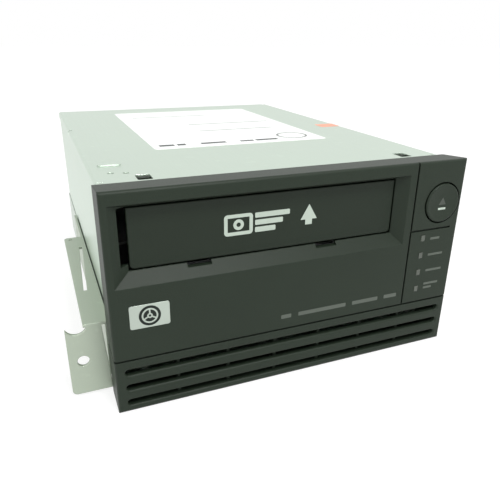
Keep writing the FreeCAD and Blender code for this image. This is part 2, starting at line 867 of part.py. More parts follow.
def cover_laps():
    # short tongues at the foot of each side, which pass inside the walls of the pan
    lap = half_width - pan_sheet - seam_gap
    laps = []
    for side in (-1, 1):
        wall, outer, inner = [side * x for x in (half_width - cover_sheet / 2, lap, lap - cover_sheet)]
        foot = [(wall, cover_low), (wall, cover_low + 0.6), (inner, cover_low + 1.8),
                (inner, cover_low - lap_height), (outer, cover_low - lap_height), (outer, cover_low)]
        laps += [across(foot, y - lap_width / 2, y + lap_width / 2) for y in (-lap_pitch, 0, lap_pitch)]
    return laps


def cover_cuts():
    # slots for the bezel's clips, screw holes, dimples and the slits that free the front corners
    slots = [round_box(x - clip_slot_width / 2, x + clip_slot_width / 2, clip_slot_start,
                       clip_slot_start + clip_slot_length, cover_under - 1, case_height + 1, clip_slot_corner,
                       along_z) for x in clip_places]
    screws = [rod(x, rear_panel_y - 1, cover_screw_z, cover_screw_radius + screw_clearance, cover_sheet + 2,
                  along_y) for x in cover_screw_x]
    dimples = [rod(-half_width + x, case_front + y, case_height - dimple_depth, dimple_radius, 1)
               for x, y in dimple_places]
    slit_start = cover_front + corner_slit_back
    slits = [box(side * half_width - corner_slit_reach, side * half_width + corner_slit_reach, slit_start,
                 slit_start + corner_slit_width, case_height - corner_slit_height, case_height + 1)
             for side in (-1, 1)]
    fold_hole = rod(-half_width - 1, case_front + fold_hole_back, case_height - cover_sheet,
                    fold_hole_radius, 3, along_x)
    return [*slots, *screws, *dimples, *slits, fold_hole]


def rear_panel():
    edge = half_width - cover_sheet - rear_panel_gap
    top = cover_under - joggle_depth
    plate = box(-edge, edge, rear_panel_y - cover_sheet, rear_panel_y, pan_sheet, top)
    flanges = [box(x, x + cover_sheet, rear_panel_y - rear_flange, rear_panel_y, pan_sheet, top)
               for x in (-edge, edge - cover_sheet)]
    openings = [connector_window(data_x, data_width, data_height),
                connector_window(power_x, power_width, power_height)]
    screws = [wall_hole(x, cover_screw_z, cover_screw_radius, rear_panel_y, 3) for x in cover_screw_x]
    return cut(fuse(plate, *flanges), *openings, *screws, *fan_grille())


def connector_window(x, width, height):
    reach = width / 2 + connector_clearance
    return box(x - reach, x + reach, rear_panel_y - 3, rear_panel_y + 1, board_top - connector_clearance,
               board_top + height + connector_clearance)


def fan_grille():
    # rings of slots behind the fan, bridged by four spokes
    start, depth = rear_panel_y - 3, 4
    rings = []
    for ring in range(grille_rings):
        inner = grille_start + ring * grille_pitch
        slot = tube(fan_x, start, fan_z, inner + grille_slot, inner, depth, along_y)
        for angle in (45, 135):
            spoke = box(-fan_size, fan_size, start - 1, rear_panel_y + 2, -grille_bar / 2, grille_bar / 2)
            slot = cut(slot, turned(spoke, angle, fan_x, 0, along_y, fan_z))
        rings.append(slot)
    return [*rings, *(wall_hole(x, z, fan_screw_radius + 0.2, rear_panel_y, 3) for x, z in fan_holes)]


def cover_screws():
    return group([pan_head_screw(x, case_back, cover_screw_z, -along_y, cover_screw_radius)
                  for x in cover_screw_x])


def side_bracket():
    # a flat plate against the case, a shelf along its top edge and an ear at the shelf's front end
    wall = -half_width
    front = case_front + bracket_front_gap
    under = bracket_height - bracket_sheet
    plate = box(wall - bracket_sheet, wall, front + bracket_plate_setback, front + bracket_length,
                bracket_plate_bottom, bracket_height)
    shelf = box(wall - shelf_reach, wall, front, front + shelf_length, under, bracket_height)
    shelf = round_edges(shelf, ear_corner, lambda edge: runs_along(edge, along_z)
                        and edge.BoundBox.YMin > front + 1 and edge.BoundBox.XMax < wall - 1)
    ear = across([(wall - ear_reach, ear_bottom), (wall - ear_gap_low, ear_bottom),
                  (wall - ear_gap_high, bracket_height), (wall - ear_reach, bracket_height)],
                 front, front + bracket_sheet)
    ear = round_edges(ear, ear_corner,
                      lambda edge: runs_along(edge, along_y) and edge.BoundBox.XMax < wall - ear_gap_high)
    scallop = wall_hole(wall - shelf_reach - scallop_radius * 0.62, bracket_height + 0.4, scallop_radius,
                        front, 3)
    slot = upright([(wall - shelf_slot_back, front + shelf_slot_end),
                    (wall - shelf_slot_back + shelf_slot_width, front + shelf_slot_end),
                    (wall - shelf_slot_front + shelf_slot_width, front + shelf_slot_start),
                    (wall - shelf_slot_front, front + shelf_slot_start)], under - 1, bracket_height + 1)
    ear_hole = wall_hole(wall - ear_hole_out, ear_hole_z, ear_hole_radius, front, 3)
    corner_hole = rod(wall - shelf_reach + corner_hole_inset, front + shelf_length - corner_hole_inset,
                      under - 1, corner_hole_radius, bracket_sheet + 2)
    holes = [*mount_holes(wall - bracket_sheet - 1, wall + 1),
             *bracket_screw_holes(wall - bracket_sheet - 1, wall + 1)]
    return cut(fuse(plate, shelf, cut(ear, scallop)), slot, ear_hole, corner_hole, *holes)


def bracket_screws():
    return group([pan_head_screw(-half_width - bracket_sheet, y, bracket_screw_z, along_x, bracket_screw_radius)
                  for y in (-hole_pitch_y / 2, hole_pitch_y / 2)])


def cartridge_tray():
    # the tray's floor, with the hole that the hub comes up through and the stop at the back
    left, right = bay_centre - tray_half, bay_centre + tray_half
    under = tray_floor_top - tray_sheet
    floor = box(left, right, tray_front, tray_back, under, tray_floor_top)
    stop = box(left, right, tray_back - tray_sheet, tray_back, under, tray_floor_top + tray_stop_height)
    reach = supply_hub_radius + hub_window_gap
    depth = tray_sheet + 2
    window = fuse(rod(bay_centre, supply_hub_y, under - 1, reach, depth),
                  box(bay_centre - reach, bay_centre + reach, supply_hub_y - tray_travel, supply_hub_y,
                      under - 1, under - 1 + depth),
                  rod(bay_centre, supply_hub_y - tray_travel, under - 1, reach, depth))
    return cut(fuse(floor, stop), window)


def tray_walls():
    # a channel at each side, with the lip that keeps a cartridge down
    walls = []
    for side in (-1, 1):
        outer, inner = bay_centre + side * tray_half, bay_centre + side * (tray_half - tray_sheet)
        lip = bay_centre + side * (tray_half - tray_lip)
        profile = [(outer, tray_floor_top), (outer, tray_top), (lip, tray_top), (lip, tray_top - tray_sheet),
                   (inner, tray_top - tray_sheet), (inner, tray_floor_top)]
        walls.append(across(profile, tray_front, tray_back - tray_sheet))
    return group(walls)


def tray_pins():
    reach = side_plate_gap + side_plate_sheet + tray_pin_proud
    return group([rod(bay_centre + side * tray_half, y, tray_pin_z, tray_pin_radius, reach, Vec(side, 0, 0))
                  for side in (-1, 1) for y in tray_pin_places])


def tray_rack():
    # a rack along the tray's right wall; its teeth face the pinion
    pitch = math.pi * gear_module
    root = rack_line_x - gear_module - 0.1
    back = box(bay_centre + tray_half, root, gear_y - rack_run, gear_y + rack_run, rack_bottom, rack_top)
    half_root = pitch / 4 + rack_root_flank - gear_backlash / 2
    half_tip = pitch / 4 - rack_tip_flank - gear_backlash / 2
    tip = rack_line_x + tooth_addendum * gear_module
    teeth = []
    count = int(rack_run / pitch) - 1
    for place in range(-count, count + 1):
        middle = gear_y + place * pitch
        teeth.append(upright([(root - 0.1, middle - half_root), (tip, middle - half_tip),
                              (tip, middle + half_tip), (root - 0.1, middle + half_root)],
                             rack_bottom, rack_top))
    return fuse(back, *teeth)


def spur_gear(teeth, x, y, z, width, bore, turn):
    # straight-flanked teeth that stay inside the involute, so meshed gears keep their backlash
    pitch_radius = gear_module * teeth / 2
    root = pitch_radius - tooth_dedendum * gear_module
    tip = pitch_radius + tooth_addendum * gear_module
    step = 2 * math.pi / teeth
    play = gear_backlash / 2 / pitch_radius
    flank = ((root, step * tooth_root_share), (pitch_radius, step / 4 - play), (tip, step * tooth_tip_share))
    points = []
    for tooth in range(teeth):
        middle = math.radians(turn) + tooth * step
        for radius, half in (*flank, *((radius, -half) for radius, half in reversed(flank))):
            points.append((x + radius * math.cos(middle - half), y + radius * math.sin(middle - half)))
    return cut(upright(points, z, z + width), rod(x, y, z - 1, bore, width + 2))


def loading_gear():
    bore = gear_shaft_radius + running_clearance
    wheel = spur_gear(wheel_teeth, gear_x, gear_y, wheel_bottom, gear_width, bore, 0)
    pinion = spur_gear(pinion_teeth, gear_x, gear_y, wheel_bottom + gear_width, rack_height + 0.6, bore,
                       180 + 180 / pinion_teeth)
    return fuse(wheel, pinion)


def loading_gear_post():
    shaft = rod(gear_x, gear_y, deck_top, gear_shaft_radius, rack_top + 0.8 - deck_top)
    shoulder = rod(gear_x, gear_y, deck_top, 2 * gear_shaft_radius, wheel_bottom - 0.3 - deck_top)
    return fuse(shaft, shoulder)


def motor_pinion():
    # turned so that a gap of its teeth faces the tooth of the wheel that points at it
    gap_turn = 90 + 180 / driver_teeth
    turn_of_wheel = 270 % (360 / wheel_teeth)
    turn = gap_turn + turn_of_wheel * wheel_teeth / driver_teeth
    bore = load_shaft_radius + running_clearance
    return spur_gear(driver_teeth, gear_x, driver_y, wheel_bottom, gear_width, bore, turn)


def load_motor():
    body = rod(gear_x, driver_y, deck_top, load_motor_radius, load_motor_height)
    shaft_start = deck_top + load_motor_height
    return fuse(body, rod(gear_x, driver_y, shaft_start, load_shaft_radius, gear_rise + gear_width + 0.6))


def tray_side_plates():
    return group([left_side_plate(), right_side_plate()])


def side_plate(side):
    # a plate that stands on the deck, with two feet and the slots that the tray's pins run in
    inner = bay_centre + side * plate_half
    x0, x1 = sorted((inner, inner + side * side_plate_sheet))
    start, end = tray_front - side_plate_margin, tray_back + tray_travel + side_plate_margin
    plate = box(x0, x1, start, end, deck_top, cover_under - side_plate_drop)
    reach = tray_pin_radius + tray_pin_clearance
    slots = [round_box(x0 - 1, x1 + 1, y - reach, y + tray_travel + reach, tray_pin_z - reach,
                       tray_pin_z + reach, reach - 0.001, along_x) for y in tray_pin_places]
    foot_inner = inner - side * side_plate_foot
    feet = [box(min(foot_inner, x0), max(foot_inner, x1), y, y + side_plate_foot_length, deck_top,
                deck_top + side_plate_sheet) for y in (start, end - side_plate_foot_length)]
    return cut(fuse(plate, *feet), *slots)


def left_side_plate():
    return side_plate(-1)


def right_side_plate():
    # this side also lets the loading gears through and the tape out to its first guide
    inner = bay_centre + plate_half
    x0, x1 = inner - side_plate_foot - 1, inner + side_plate_sheet + 1
    gears = box(x0, x1, gear_y - wheel_radius - gear_room, gear_y + wheel_radius + gear_room,
                deck_top + side_plate_sheet, rack_top + 1.2)
    motor = box(x0, x1, driver_y - load_motor_radius - 1, gear_y, deck_top, rack_top + 1.2)
    tape_start = tray_pin_places[-1] + tray_travel + tray_pin_radius + tape_window_edge
    tape = box(x0, x1, tape_start, tape_start + plate_half, tape_bottom - tape_window_edge,
               tape_top + tape_window_edge)
    return cut(side_plate(1), gears, motor, tape)


def deck_plate():
    # the plate that carries the mechanism, on four posts that stand on the pan
    edge = half_width - pan_sheet - deck_inset
    under = deck_top - deck_thickness
    plate = round_box(-edge, edge, deck_front, deck_back, under, deck_top, deck_corner, along_z)
    posts = [rod(x, y, pan_sheet, deck_post_radius, under - pan_sheet + 0.2) for x, y in deck_post_places]
    windows = []
    for x, y, width, length in deck_windows:
        left, start = bay_centre + x, supply_hub_y + y
        windows.append(round_box(left, left + width, start, start + length, under - 1, deck_top + 1,
                                 deck_corner - 1, along_z))
    return cut(fuse(plate, *posts), *windows)


def reel_motor(x, y, shaft_top):
    # a flat motor: a flange on the deck, a can with a bevelled top and a shaft
    flange = rod(x, y, deck_top, motor_radius, motor_flange)
    can = rod(x, y, deck_top + motor_flange, motor_radius - motor_can_inset, motor_height - motor_flange)
    rim = [edge for edge in can.Edges if edge.BoundBox.ZMin > deck_top + motor_height - 0.01]
    can = can.makeChamfer(motor_bevel, rim)
    shaft_bottom = deck_top + motor_height - 0.2
    return fuse(flange, can, rod(x, y, shaft_bottom, shaft_radius, shaft_top - shaft_bottom))


def supply_motor():
    return reel_motor(bay_centre, supply_hub_y, hub_top - 0.4)


def takeup_motor():
    return reel_motor(reel_x, reel_y, reel_ceiling + 0.7)


def supply_hub():
    # a disc with a ring of wedge-shaped teeth, which drives the cartridge's reel from below
    disc = rod(bay_centre, supply_hub_y, hub_bottom, supply_hub_radius, hub_top - hub_bottom)
    outer = supply_hub_radius - 0.5
    inner = outer - hub_tooth_length
    spread = math.pi / hub_teeth * 0.35
    teeth = []
    for tooth in range(hub_teeth):
        outline = [(inner, -inner * spread / 2), (outer, -outer * spread), (outer, outer * spread),
                   (inner, inner * spread / 2)]
        teeth.append(turned(upright(outline, hub_top, hub_top + hub_tooth_height), 360 * tooth / hub_teeth,
                            bay_centre, supply_hub_y))
    bore = rod(bay_centre, supply_hub_y, hub_bottom - 1, shaft_radius + running_clearance,
               hub_top - hub_bottom + 4)
    return cut(fuse(disc, *teeth), bore)


def takeup_reel():
    # the drum that the tape is wound on, with the boss that stands on its motor
    floor = reel_floor + reel_flange
    boss = rod(reel_x, reel_y, hub_bottom, reel_boss_radius, floor - hub_bottom)
    drum = rod(reel_x, reel_y, floor, reel_core_radius, reel_ceiling - floor)
    slot_end = reel_y - reel_core_radius + leader_slot_depth
    leader_slot = box(reel_x - leader_slot_width / 2, reel_x + leader_slot_width / 2,
                      reel_y - reel_core_radius - 1, slot_end, floor, reel_ceiling)
    return cut(fuse(boss, drum), leader_slot, reel_bore(shaft_radius + running_clearance))


def reel_bore(radius):
    return rod(reel_x, reel_y, deck_top, radius, cover_under - deck_top)


def reel_lower_flange():
    return cut(rod(reel_x, reel_y, reel_floor, reel_radius, reel_flange), reel_bore(reel_boss_radius))


def reel_upper_flange():
    # a thin disc with three windows, through which the wound tape shows
    ring = tube(reel_x, reel_y, reel_ceiling - 1, reel_radius - reel_window_edge,
                reel_core_radius + reel_window_edge, reel_flange + 2)
    far = 2 * reel_radius
    wedge = [(0, 0), (far, -far * reel_window_share), (far, far * reel_window_share)]
    windows = [ring.common(turned(upright(wedge, reel_ceiling - 1, reel_ceiling + reel_flange + 1), angle,
                                  reel_x, reel_y)) for angle in (30, 150, 270)]
    return cut(rod(reel_x, reel_y, reel_ceiling, reel_radius, reel_flange), *windows,
               reel_bore(shaft_radius + running_clearance))


def guide_roller(x, y):
    body = rod(x, y, tape_bottom, guide_radius, tape_width)
    flanges = [rod(x, y, z, guide_flange_radius, guide_flange)
               for z in (tape_bottom - guide_flange, tape_top)]
    bore = rod(x, y, tape_bottom - 2, guide_shaft_radius + running_clearance, tape_width + 4)
    return cut(fuse(body, *flanges), bore)


def guide_shafts():
    foot_height = tape_bottom - guide_flange - guide_foot_gap - deck_top
    shaft_length = tape_top + guide_flange + guide_shaft_proud - deck_top
    shafts = []
    for x, y in guide_places:
        foot = Part.makeCone(guide_foot_radius, guide_neck_radius, foot_height, Vec(x, y, deck_top))
        shafts.append(fuse(foot, rod(x, y, deck_top, guide_shaft_radius, shaft_length)))
    return group(shafts)


def head_carriage():
    start = head_front_x + head_depth
    block = round_box(start, start + carriage_depth, head_y - carriage_length / 2, head_y + carriage_length / 2,
                      tape_bottom - carriage_margin, tape_top + carriage_margin, carriage_corner, along_z)
    bores = [rod(head_rod_x, y, deck_top, head_rod_radius + running_clearance, cover_under - deck_top)
             for y in head_rod_places]
    return cut(block, *bores)


def tape_head():
    # the curved read and write head on the front of its carriage
    nose = rod(head_front_x + head_nose_radius, head_y, tape_bottom + head_margin, head_nose_radius,
               tape_width - 2 * head_margin)
    body = box(head_front_x, head_front_x + head_depth, head_y - head_length / 2, head_y + head_length / 2,
               tape_bottom, tape_top)
    slit = box(head_front_x - 1, head_front_x + head_slit_depth, head_y - head_slit / 2, head_y + head_slit / 2,
               tape_bottom, tape_top)
    return cut(nose.common(body), slit)


def head_guide_rods():
    length = tape_top + head_travel + head_rod_proud - deck_top
    return group([rod(head_rod_x, y, deck_top, head_rod_radius, length) for y in head_rod_places])


def head_actuator():
    # the fixed magnet yoke of the voice coil that lifts and lowers the head
    middle = head_rod_x - head_actuator_step
    yoke = box(middle - actuator_length / 2, middle + actuator_length / 2, head_y - actuator_width / 2,
               head_y + actuator_width / 2, deck_top, deck_top + actuator_height)
    gap = tube(middle, head_y, deck_top + 2, coil_outer_radius, coil_inner_radius, actuator_height)
    return cut(yoke, gap)


def main_board():
    board = box(-board_half, board_half, board_front, board_back, main_board_z, board_top)
    depth = board_sheet + 2
    posts = [rod(x, y, main_board_z - 1, deck_post_radius + 0.6, depth) for x, y in deck_post_places]
    screws = [rod(x, y, main_board_z - 1, board_screw_radius + 0.1, depth) for x, y in board_post_places]
    return cut(board, *posts, *screws)


def board_posts():
    # six-sided spacers between the pan and the main board, with the screws that hold the board on them
    posts = []
    for x, y in board_post_places:
        corners = [(x + board_post_radius * math.cos(turn * math.pi / 3),
                    y + board_post_radius * math.sin(turn * math.pi / 3)) for turn in range(6)]
        screw = pan_head_screw(x, y, board_top, -along_z, board_screw_radius, board_sheet, board_post_radius)
        posts.append(fuse(upright(corners, pan_sheet, main_board_z), screw))
    return group(posts)


def board_chips():
    chips = []
    for x, y, size, height in board_chip_places:
        middle = board_front + y
        chips.append(box(x - size / 2, x + size / 2, middle - size / 2, middle + size / 2,
                         board_top, board_top + height))
    return group(chips)


def data_connector():
    # a shrouded socket with the printed edge that a ribbon cable's plug slides over
    back = case_back + connector_proud
    left, right, top = data_x - data_width / 2, data_x + data_width / 2, board_top + data_height
    block = box(left, right, board_back - connector_root, back, board_top, top)
    mouth = box(left + data_wall, right - data_wall, back - connector_depth, back + 1, board_top + data_wall,
                top - data_wall)
    middle = board_top + data_height / 2
    blade = box(left + data_blade_inset, right - data_blade_inset, back - connector_depth - 1, back - 1.5,
                middle - data_blade_half, middle + data_blade_half)
    return fuse(cut(block, mouth), blade)


def power_connector():
    # a four-pin supply socket, with the bevelled upper corners that key its plug
    back = case_back + connector_proud
    left, right, top = power_x - power_width / 2, power_x + power_width / 2, board_top + power_height
    block = box(left, right, board_back - connector_root, back, board_top, top)
    mouth = box(left + power_wall, right - power_wall, back - connector_depth - 2, back + 1,
                board_top + power_wall, top - power_wall)
    middle = board_top + power_height / 2
    mouth = mouth.makeChamfer(power_bevel, [edge for edge in mouth.Edges if runs_along(edge, along_y)
                                            and edge.BoundBox.ZMin > middle])
    first_pin = power_x - (power_pins - 1) / 2 * power_pin_pitch
    pins = [rod(first_pin + place * power_pin_pitch, back - connector_depth - 2.5, middle, power_pin_radius,
                connector_depth + 0.5, along_y) for place in range(power_pins)]
    return fuse(cut(block, mouth), *pins)


def fan_frame():
    half = fan_size / 2
    start = fan_back - fan_depth
    frame = round_box(fan_x - half, fan_x + half, start, fan_back, fan_z - half, fan_z + half, fan_corner,
                      along_y)
    duct = rod(fan_x, start - 1, fan_z, fan_inner_radius, fan_depth + 2, along_y)
    holes = [wall_hole(x, z, fan_screw_radius + 0.2, fan_back, fan_depth + 2) for x, z in fan_holes]
    frame = cut(frame, duct, *holes)
    spider = rod(fan_x, fan_back - 2, fan_z, fan_hub_radius, fan_spider, along_y)
    arms = [turned(box(-fan_arm_width / 2, fan_arm_width / 2, fan_back - 2, fan_back - 2 + fan_spider,
                       fan_hub_radius - 1, fan_inner_radius + 0.5), angle, fan_x, 0, along_y, fan_z)
            for angle in (20, 140, 260)]
    spindle = rod(fan_x, start + 1.2, fan_z, fan_spindle_radius, fan_depth - 2, along_y)
    return fuse(frame, spider, spindle, *arms)


def fan_rotor():
    front = fan_back - fan_depth + fan_rotor_gap
    depth = fan_depth - fan_rotor_gap - fan_spider - 1
    hub = rod(fan_x, front, fan_z, fan_hub_radius - fan_hub_gap, depth, along_y)
    root, tip = fan_hub_radius - 4 * fan_hub_gap, fan_inner_radius - fan_tip_gap
    blades = []
    for place in range(fan_blades):
        blade = Part.makeLoft([blade_section(root, fan_root_pitch, front, depth),
                               blade_section(tip, fan_tip_pitch, front, depth)], True, True)
        blades.append(turned(blade, 360 * place / fan_blades, fan_x, 0, along_y, fan_z))
    bore = rod(fan_x, front - 1, fan_z, fan_spindle_radius + running_clearance, depth + 2, along_y)
    return cut(fuse(hub, *blades), bore)


def blade_section(radius, pitch, front, depth):
    # one slanted strip across the fan's depth, at one distance from the axis
    lean = math.tan(math.radians(pitch)) * depth * 0.5
    half = fan_blade_thickness / 2
    near, far = front + 0.3, front + depth - 0.3
    return Part.makePolygon([Vec(-lean - half, near, radius), Vec(-lean + half, near, radius),
                             Vec(lean + half, far, radius), Vec(lean - half, far, radius),
                             Vec(-lean - half, near, radius)])


def fan_screws():
    return group([pan_head_screw(x, rear_panel_y, z, -along_y, fan_screw_radius, fan_depth)
                  for x, z in fan_holes])


makers = [front_bezel, badge_plate, tape_door, door_hinge_pin, door_spring, eject_button, eject_switch,
          front_panel_board, led_light_pipes, base_pan, top_cover, rear_panel, cover_screws, side_bracket,
          bracket_screws, cartridge_tray, tray_walls, tray_pins, tray_rack, tray_side_plates, loading_gear,
          loading_gear_post, motor_pinion, load_motor, deck_plate, supply_motor, supply_hub, takeup_motor,
          takeup_reel, reel_lower_flange, reel_upper_flange, guide_shafts, head_carriage, tape_head,
          head_guide_rods, head_actuator, main_board, board_posts, board_chips, data_connector, power_connector,
          fan_frame, fan_rotor, fan_screws]

os.makedirs("parts", exist_ok=True)
for maker in makers:
    maker().exportStep(f"parts/{maker.__name__}.step")
for number, (x, y) in enumerate(guide_places, 1):
    guide_roller(x, y).exportStep(f"parts/guide_roller_{number}.step")
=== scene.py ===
import json
import math

import bmesh
import bpy
from mathutils import Matrix, Vector


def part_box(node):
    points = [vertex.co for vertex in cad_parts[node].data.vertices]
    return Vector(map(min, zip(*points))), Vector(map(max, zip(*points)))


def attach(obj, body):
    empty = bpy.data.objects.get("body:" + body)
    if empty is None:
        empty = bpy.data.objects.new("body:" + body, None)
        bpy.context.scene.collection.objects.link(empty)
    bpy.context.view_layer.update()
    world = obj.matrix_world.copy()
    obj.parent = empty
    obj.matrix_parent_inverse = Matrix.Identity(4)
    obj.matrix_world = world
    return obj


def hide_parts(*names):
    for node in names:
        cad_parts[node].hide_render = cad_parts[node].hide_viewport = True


mm = 0.001
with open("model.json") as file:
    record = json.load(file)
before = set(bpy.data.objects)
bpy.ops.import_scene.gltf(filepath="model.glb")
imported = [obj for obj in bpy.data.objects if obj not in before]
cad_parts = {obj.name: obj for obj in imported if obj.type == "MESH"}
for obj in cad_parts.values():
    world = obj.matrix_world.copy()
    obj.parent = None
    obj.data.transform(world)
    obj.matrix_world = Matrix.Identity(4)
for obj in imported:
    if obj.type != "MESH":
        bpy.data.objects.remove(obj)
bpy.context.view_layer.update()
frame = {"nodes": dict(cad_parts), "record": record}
nodes = frame["nodes"]
print("frame loaded:", len(nodes), "nodes")


# camera, a little above the face and to its left

viewSettings = {
    "place": (-89.3 * mm, -263.9 * mm, 129.8 * mm),
    "turn": 22.44,  # degrees to the right
    "tilt": 22.43,  # degrees down
    "roll": 0.66,
    "lens": 37.4,
    "sensor": 36,
    "near": 0.01,
}


def addCamera(s):
    turn, tilt, roll = (math.radians(s[key]) for key in ("turn", "tilt", "roll"))
    ahead = Vector((math.sin(turn) * math.cos(tilt), math.cos(turn) * math.cos(tilt), -math.sin(tilt)))
    right = ahead.cross(Vector((0, 0, 1))).normalized()
    up = right.cross(ahead)
    right, up = (right * math.cos(roll) + up * math.sin(roll), up * math.cos(roll) - right * math.sin(roll))
    data = bpy.data.cameras.new("camera")
    data.lens = s["lens"]
    data.sensor_width = s["sensor"]
    data.clip_start = s["near"]
    camera = bpy.data.objects.new("camera", data)
    turned = Matrix((right, up, -ahead)).transposed().to_4x4()
    camera.matrix_world = Matrix.Translation(s["place"]) @ turned
    bpy.context.collection.objects.link(camera)
    bpy.context.scene.camera = camera


addCamera(viewSettings)
print("camera placed")


# shader maths: a Wire is a socket that can be used in a sum

shaderSettings = {"roundingSamples": 4, "opennessSamples": 8}


class Wire:
    def __init__(self, shader, socket):
        self.shader = shader
        self.socket = socket

    def sum(self, operation, *others, clamp=False):
        settings = {"operation": operation, "use_clamp": clamp}
        return self.shader.node("ShaderNodeMath", settings, dict(enumerate((self, *others))))

    def __add__(self, other):
        return self.sum("ADD", other)

    def __sub__(self, other):
        return self.sum("SUBTRACT", other)

    def __mul__(self, other):
        return self.sum("MULTIPLY", other)

    def __rsub__(self, other):
        return self.shader.node("ShaderNodeMath", {"operation": "SUBTRACT"}, {0: other, 1: self})

    __radd__ = __add__
    __rmul__ = __mul__

    def above(self, limit, soft):
        # 0 under the limit, 1 over it, with a soft step between
        return ((self - limit) * (1 / soft)).sum("ADD", 0.5, clamp=True)


class Shader:
    # the nodes of a material or of the world
    def __init__(self, owner, surface="Principled BSDF"):
        owner.use_nodes = True
        self.owner = owner
        self.tree = owner.node_tree
        self.surface = self.tree.nodes[surface]
        self.place = None

    def node(self, kind, settings=None, sockets=None, output=0):
        made = self.tree.nodes.new(kind)
        for key, value in (settings or {}).items():
            setattr(made, key, value)
        for key, value in (sockets or {}).items():
            self.feed(made.inputs[key], value)
        return Wire(self, made.outputs[output])

    def feed(self, socket, value):
        if isinstance(value, Wire):
            self.tree.links.new(value.socket, socket)
        else:
            socket.default_value = value

    def set(self, **values):
        for key, value in values.items():
            self.feed(self.surface.inputs[key.replace("_", " ")], value)

    def objectPlace(self):
        if not self.place:
            self.place = self.node("ShaderNodeTexCoord", {}, {}, "Object")
        return self.place

    def stretched(self, scale):
        return self.node("ShaderNodeMapping", {}, {"Vector": self.objectPlace(), "Scale": scale})

    def noise(self, scale, detail=2.0, place=None):
        sockets = {"Vector": place or self.objectPlace(), "Scale": scale, "Detail": detail}
        return self.node("ShaderNodeTexNoise", {}, sockets)

    def mix(self, factor, low, high):
        # 6 and 7 are a Mix node's two colours, and 2 is the colour it gives
        return self.node("ShaderNodeMix", {"data_type": "RGBA"}, {0: factor, 6: low, 7: high}, 2)

    def bump(self, height, distance, strength=1.0, normal=None):
        sockets = {"Height": height, "Distance": distance, "Strength": strength}
        if normal:
            sockets["Normal"] = normal
        return self.node("ShaderNodeBump", {}, sockets)

    def roundedNormal(self, radius):
        settings = {"samples": shaderSettings["roundingSamples"]}
        return self.node("ShaderNodeBevel", settings, {"Radius": radius})

    def edges(self, radius):
        # 0 on flat faces, rising on sharp outer edges
        bent = self.roundedNormal(radius)
        straight = self.node("ShaderNodeNewGeometry", {}, {}, "Normal")
        dot = self.node("ShaderNodeVectorMath", {"operation": "DOT_PRODUCT"}, {0: bent, 1: straight}, "Value")
        return 1 - dot

    def openness(self, reach):
        # 1 in the open, less in corners and narrow gaps
        settings = {"samples": shaderSettings["opennessSamples"]}
        return self.node("ShaderNodeAmbientOcclusion", settings, {"Distance": reach}, "AO")

    def seenDirectly(self):
        # 1 for what the camera sees or a glossy surface reflects, 0 for the light that falls on things
        rays = ("Is Camera Ray", "Is Glossy Ray")
        camera, glossy = (self.node("ShaderNodeLightPath", {}, {}, ray) for ray in rays)
        return camera.sum("MAXIMUM", glossy)


def newShader(name):
    return Shader(bpy.data.materials.new(name))


def rgba(colour, factor=1.0):
    return (*(min(1.0, channel * factor) for channel in colour), 1)


# finishes

plasticSettings = {
    "charcoal": (0.0165, 0.0250, 0.016),
    "charcoalDark": (0.0138, 0.0212, 0.0133),
    "black": (0.012, 0.012, 0.012),
    "ivory": (0.62, 0.58, 0.47),
    "nylon": (0.74, 0.72, 0.62),
    "reel": (0.60, 0.60, 0.57),
    "ceramic": (0.05, 0.045, 0.04),
    "cloud": (35, 3),  # scale and detail
    "grain": (1500, 2),
    "grainDepth": 0.00005,
    "grainStrength": 0.8,
    "dark": 0.82,  # shares of the colour
    "light": 1.18,
    "rubbed": 2.0,
    # painted shade in corners and narrow gaps, as a share of the colour
    "paintedShade": 0.3,
    "edgeRadius": 0.0004,
    "edgeStep": (0.12, 0.2),  # where the wear begins, and how softly
    "gapReach": 0.0012,
    "gapStep": (0.5, 0.5),
    "roughSpread": 0.1,
    "gloss": 0.21,
}


def mouldedPlastic(name, colour, roughness, grain=True, wear=0.25):
    s = plasticSettings
    shader = newShader(name)
    cloud = shader.noise(*s["cloud"])
    rubbed = shader.edges(s["edgeRadius"]).above(*s["edgeStep"]) * wear
    fine = shader.noise(*s["grain"])
    base = shader.mix(cloud * 0.5 + fine * 0.5, rgba(colour, s["dark"]), rgba(colour, s["light"]))
    worn = shader.mix(rubbed, base, rgba(colour, s["rubbed"]))
    # painted shade: the colour falls to a share of itself in corners and narrow gaps
    unshadedMask = shader.openness(s["gapReach"]).above(*s["gapStep"])
    normal = shader.roundedNormal(s["edgeRadius"])
    if grain:
        normal = shader.bump(fine, s["grainDepth"], s["grainStrength"], normal)
    shader.set(Base_Color=shader.mix(unshadedMask, rgba(colour, s["paintedShade"]), worn), Normal=normal)
    shader.set(Roughness=fine * s["roughSpread"] + (roughness - s["roughSpread"] / 2))
    shader.set(Specular_IOR_Level=s["gloss"])
    return shader.owner


sheetSettings = {
    "cover": (0.58, 0.68, 0.585),
    "pan": (0.53, 0.60, 0.53),
    "bracket": (0.43, 0.49, 0.40),
    "inner": (0.45, 0.46, 0.45),
    "crystals": 160,
    "crystalShare": 0.06,
    "blotches": (18, 4),  # scale and detail
    "blotchShare": 0.5,
    "rolling": (1400, 22, 1400),  # scale on each axis, so the lines run from front to back
    "rollingDetail": 2,
    "rollingDepth": 0.00002,
    "rollingStrength": 0.35,
    "crystalHeight": 0.2,
    "dark": 0.93,  # shares of the colour
    "light": 1.06,
    # scuffs, and a painted highlight along bends, as a share of the colour
    "scuffsAndHighlight": 1.3,
    # painted shade in narrow gaps, as a share of the colour
    "paintedShade": 0.35,
    "scuffs": (260, 5),
    "scuffStep": (0.66, 0.06),
    "scuffShare": 0.14,
    "edgeRadius": 0.0005,
    "edgeStep": (0.1, 0.2),
    "bendHighlightShare": 0.6,
    "gapReach": 0.0016,
    "gapStep": (0.5, 0.5),
    "lineRoughness": 0.08,
    "blotchRoughness": 0.1,
    "roughnessLess": 0.09,
}


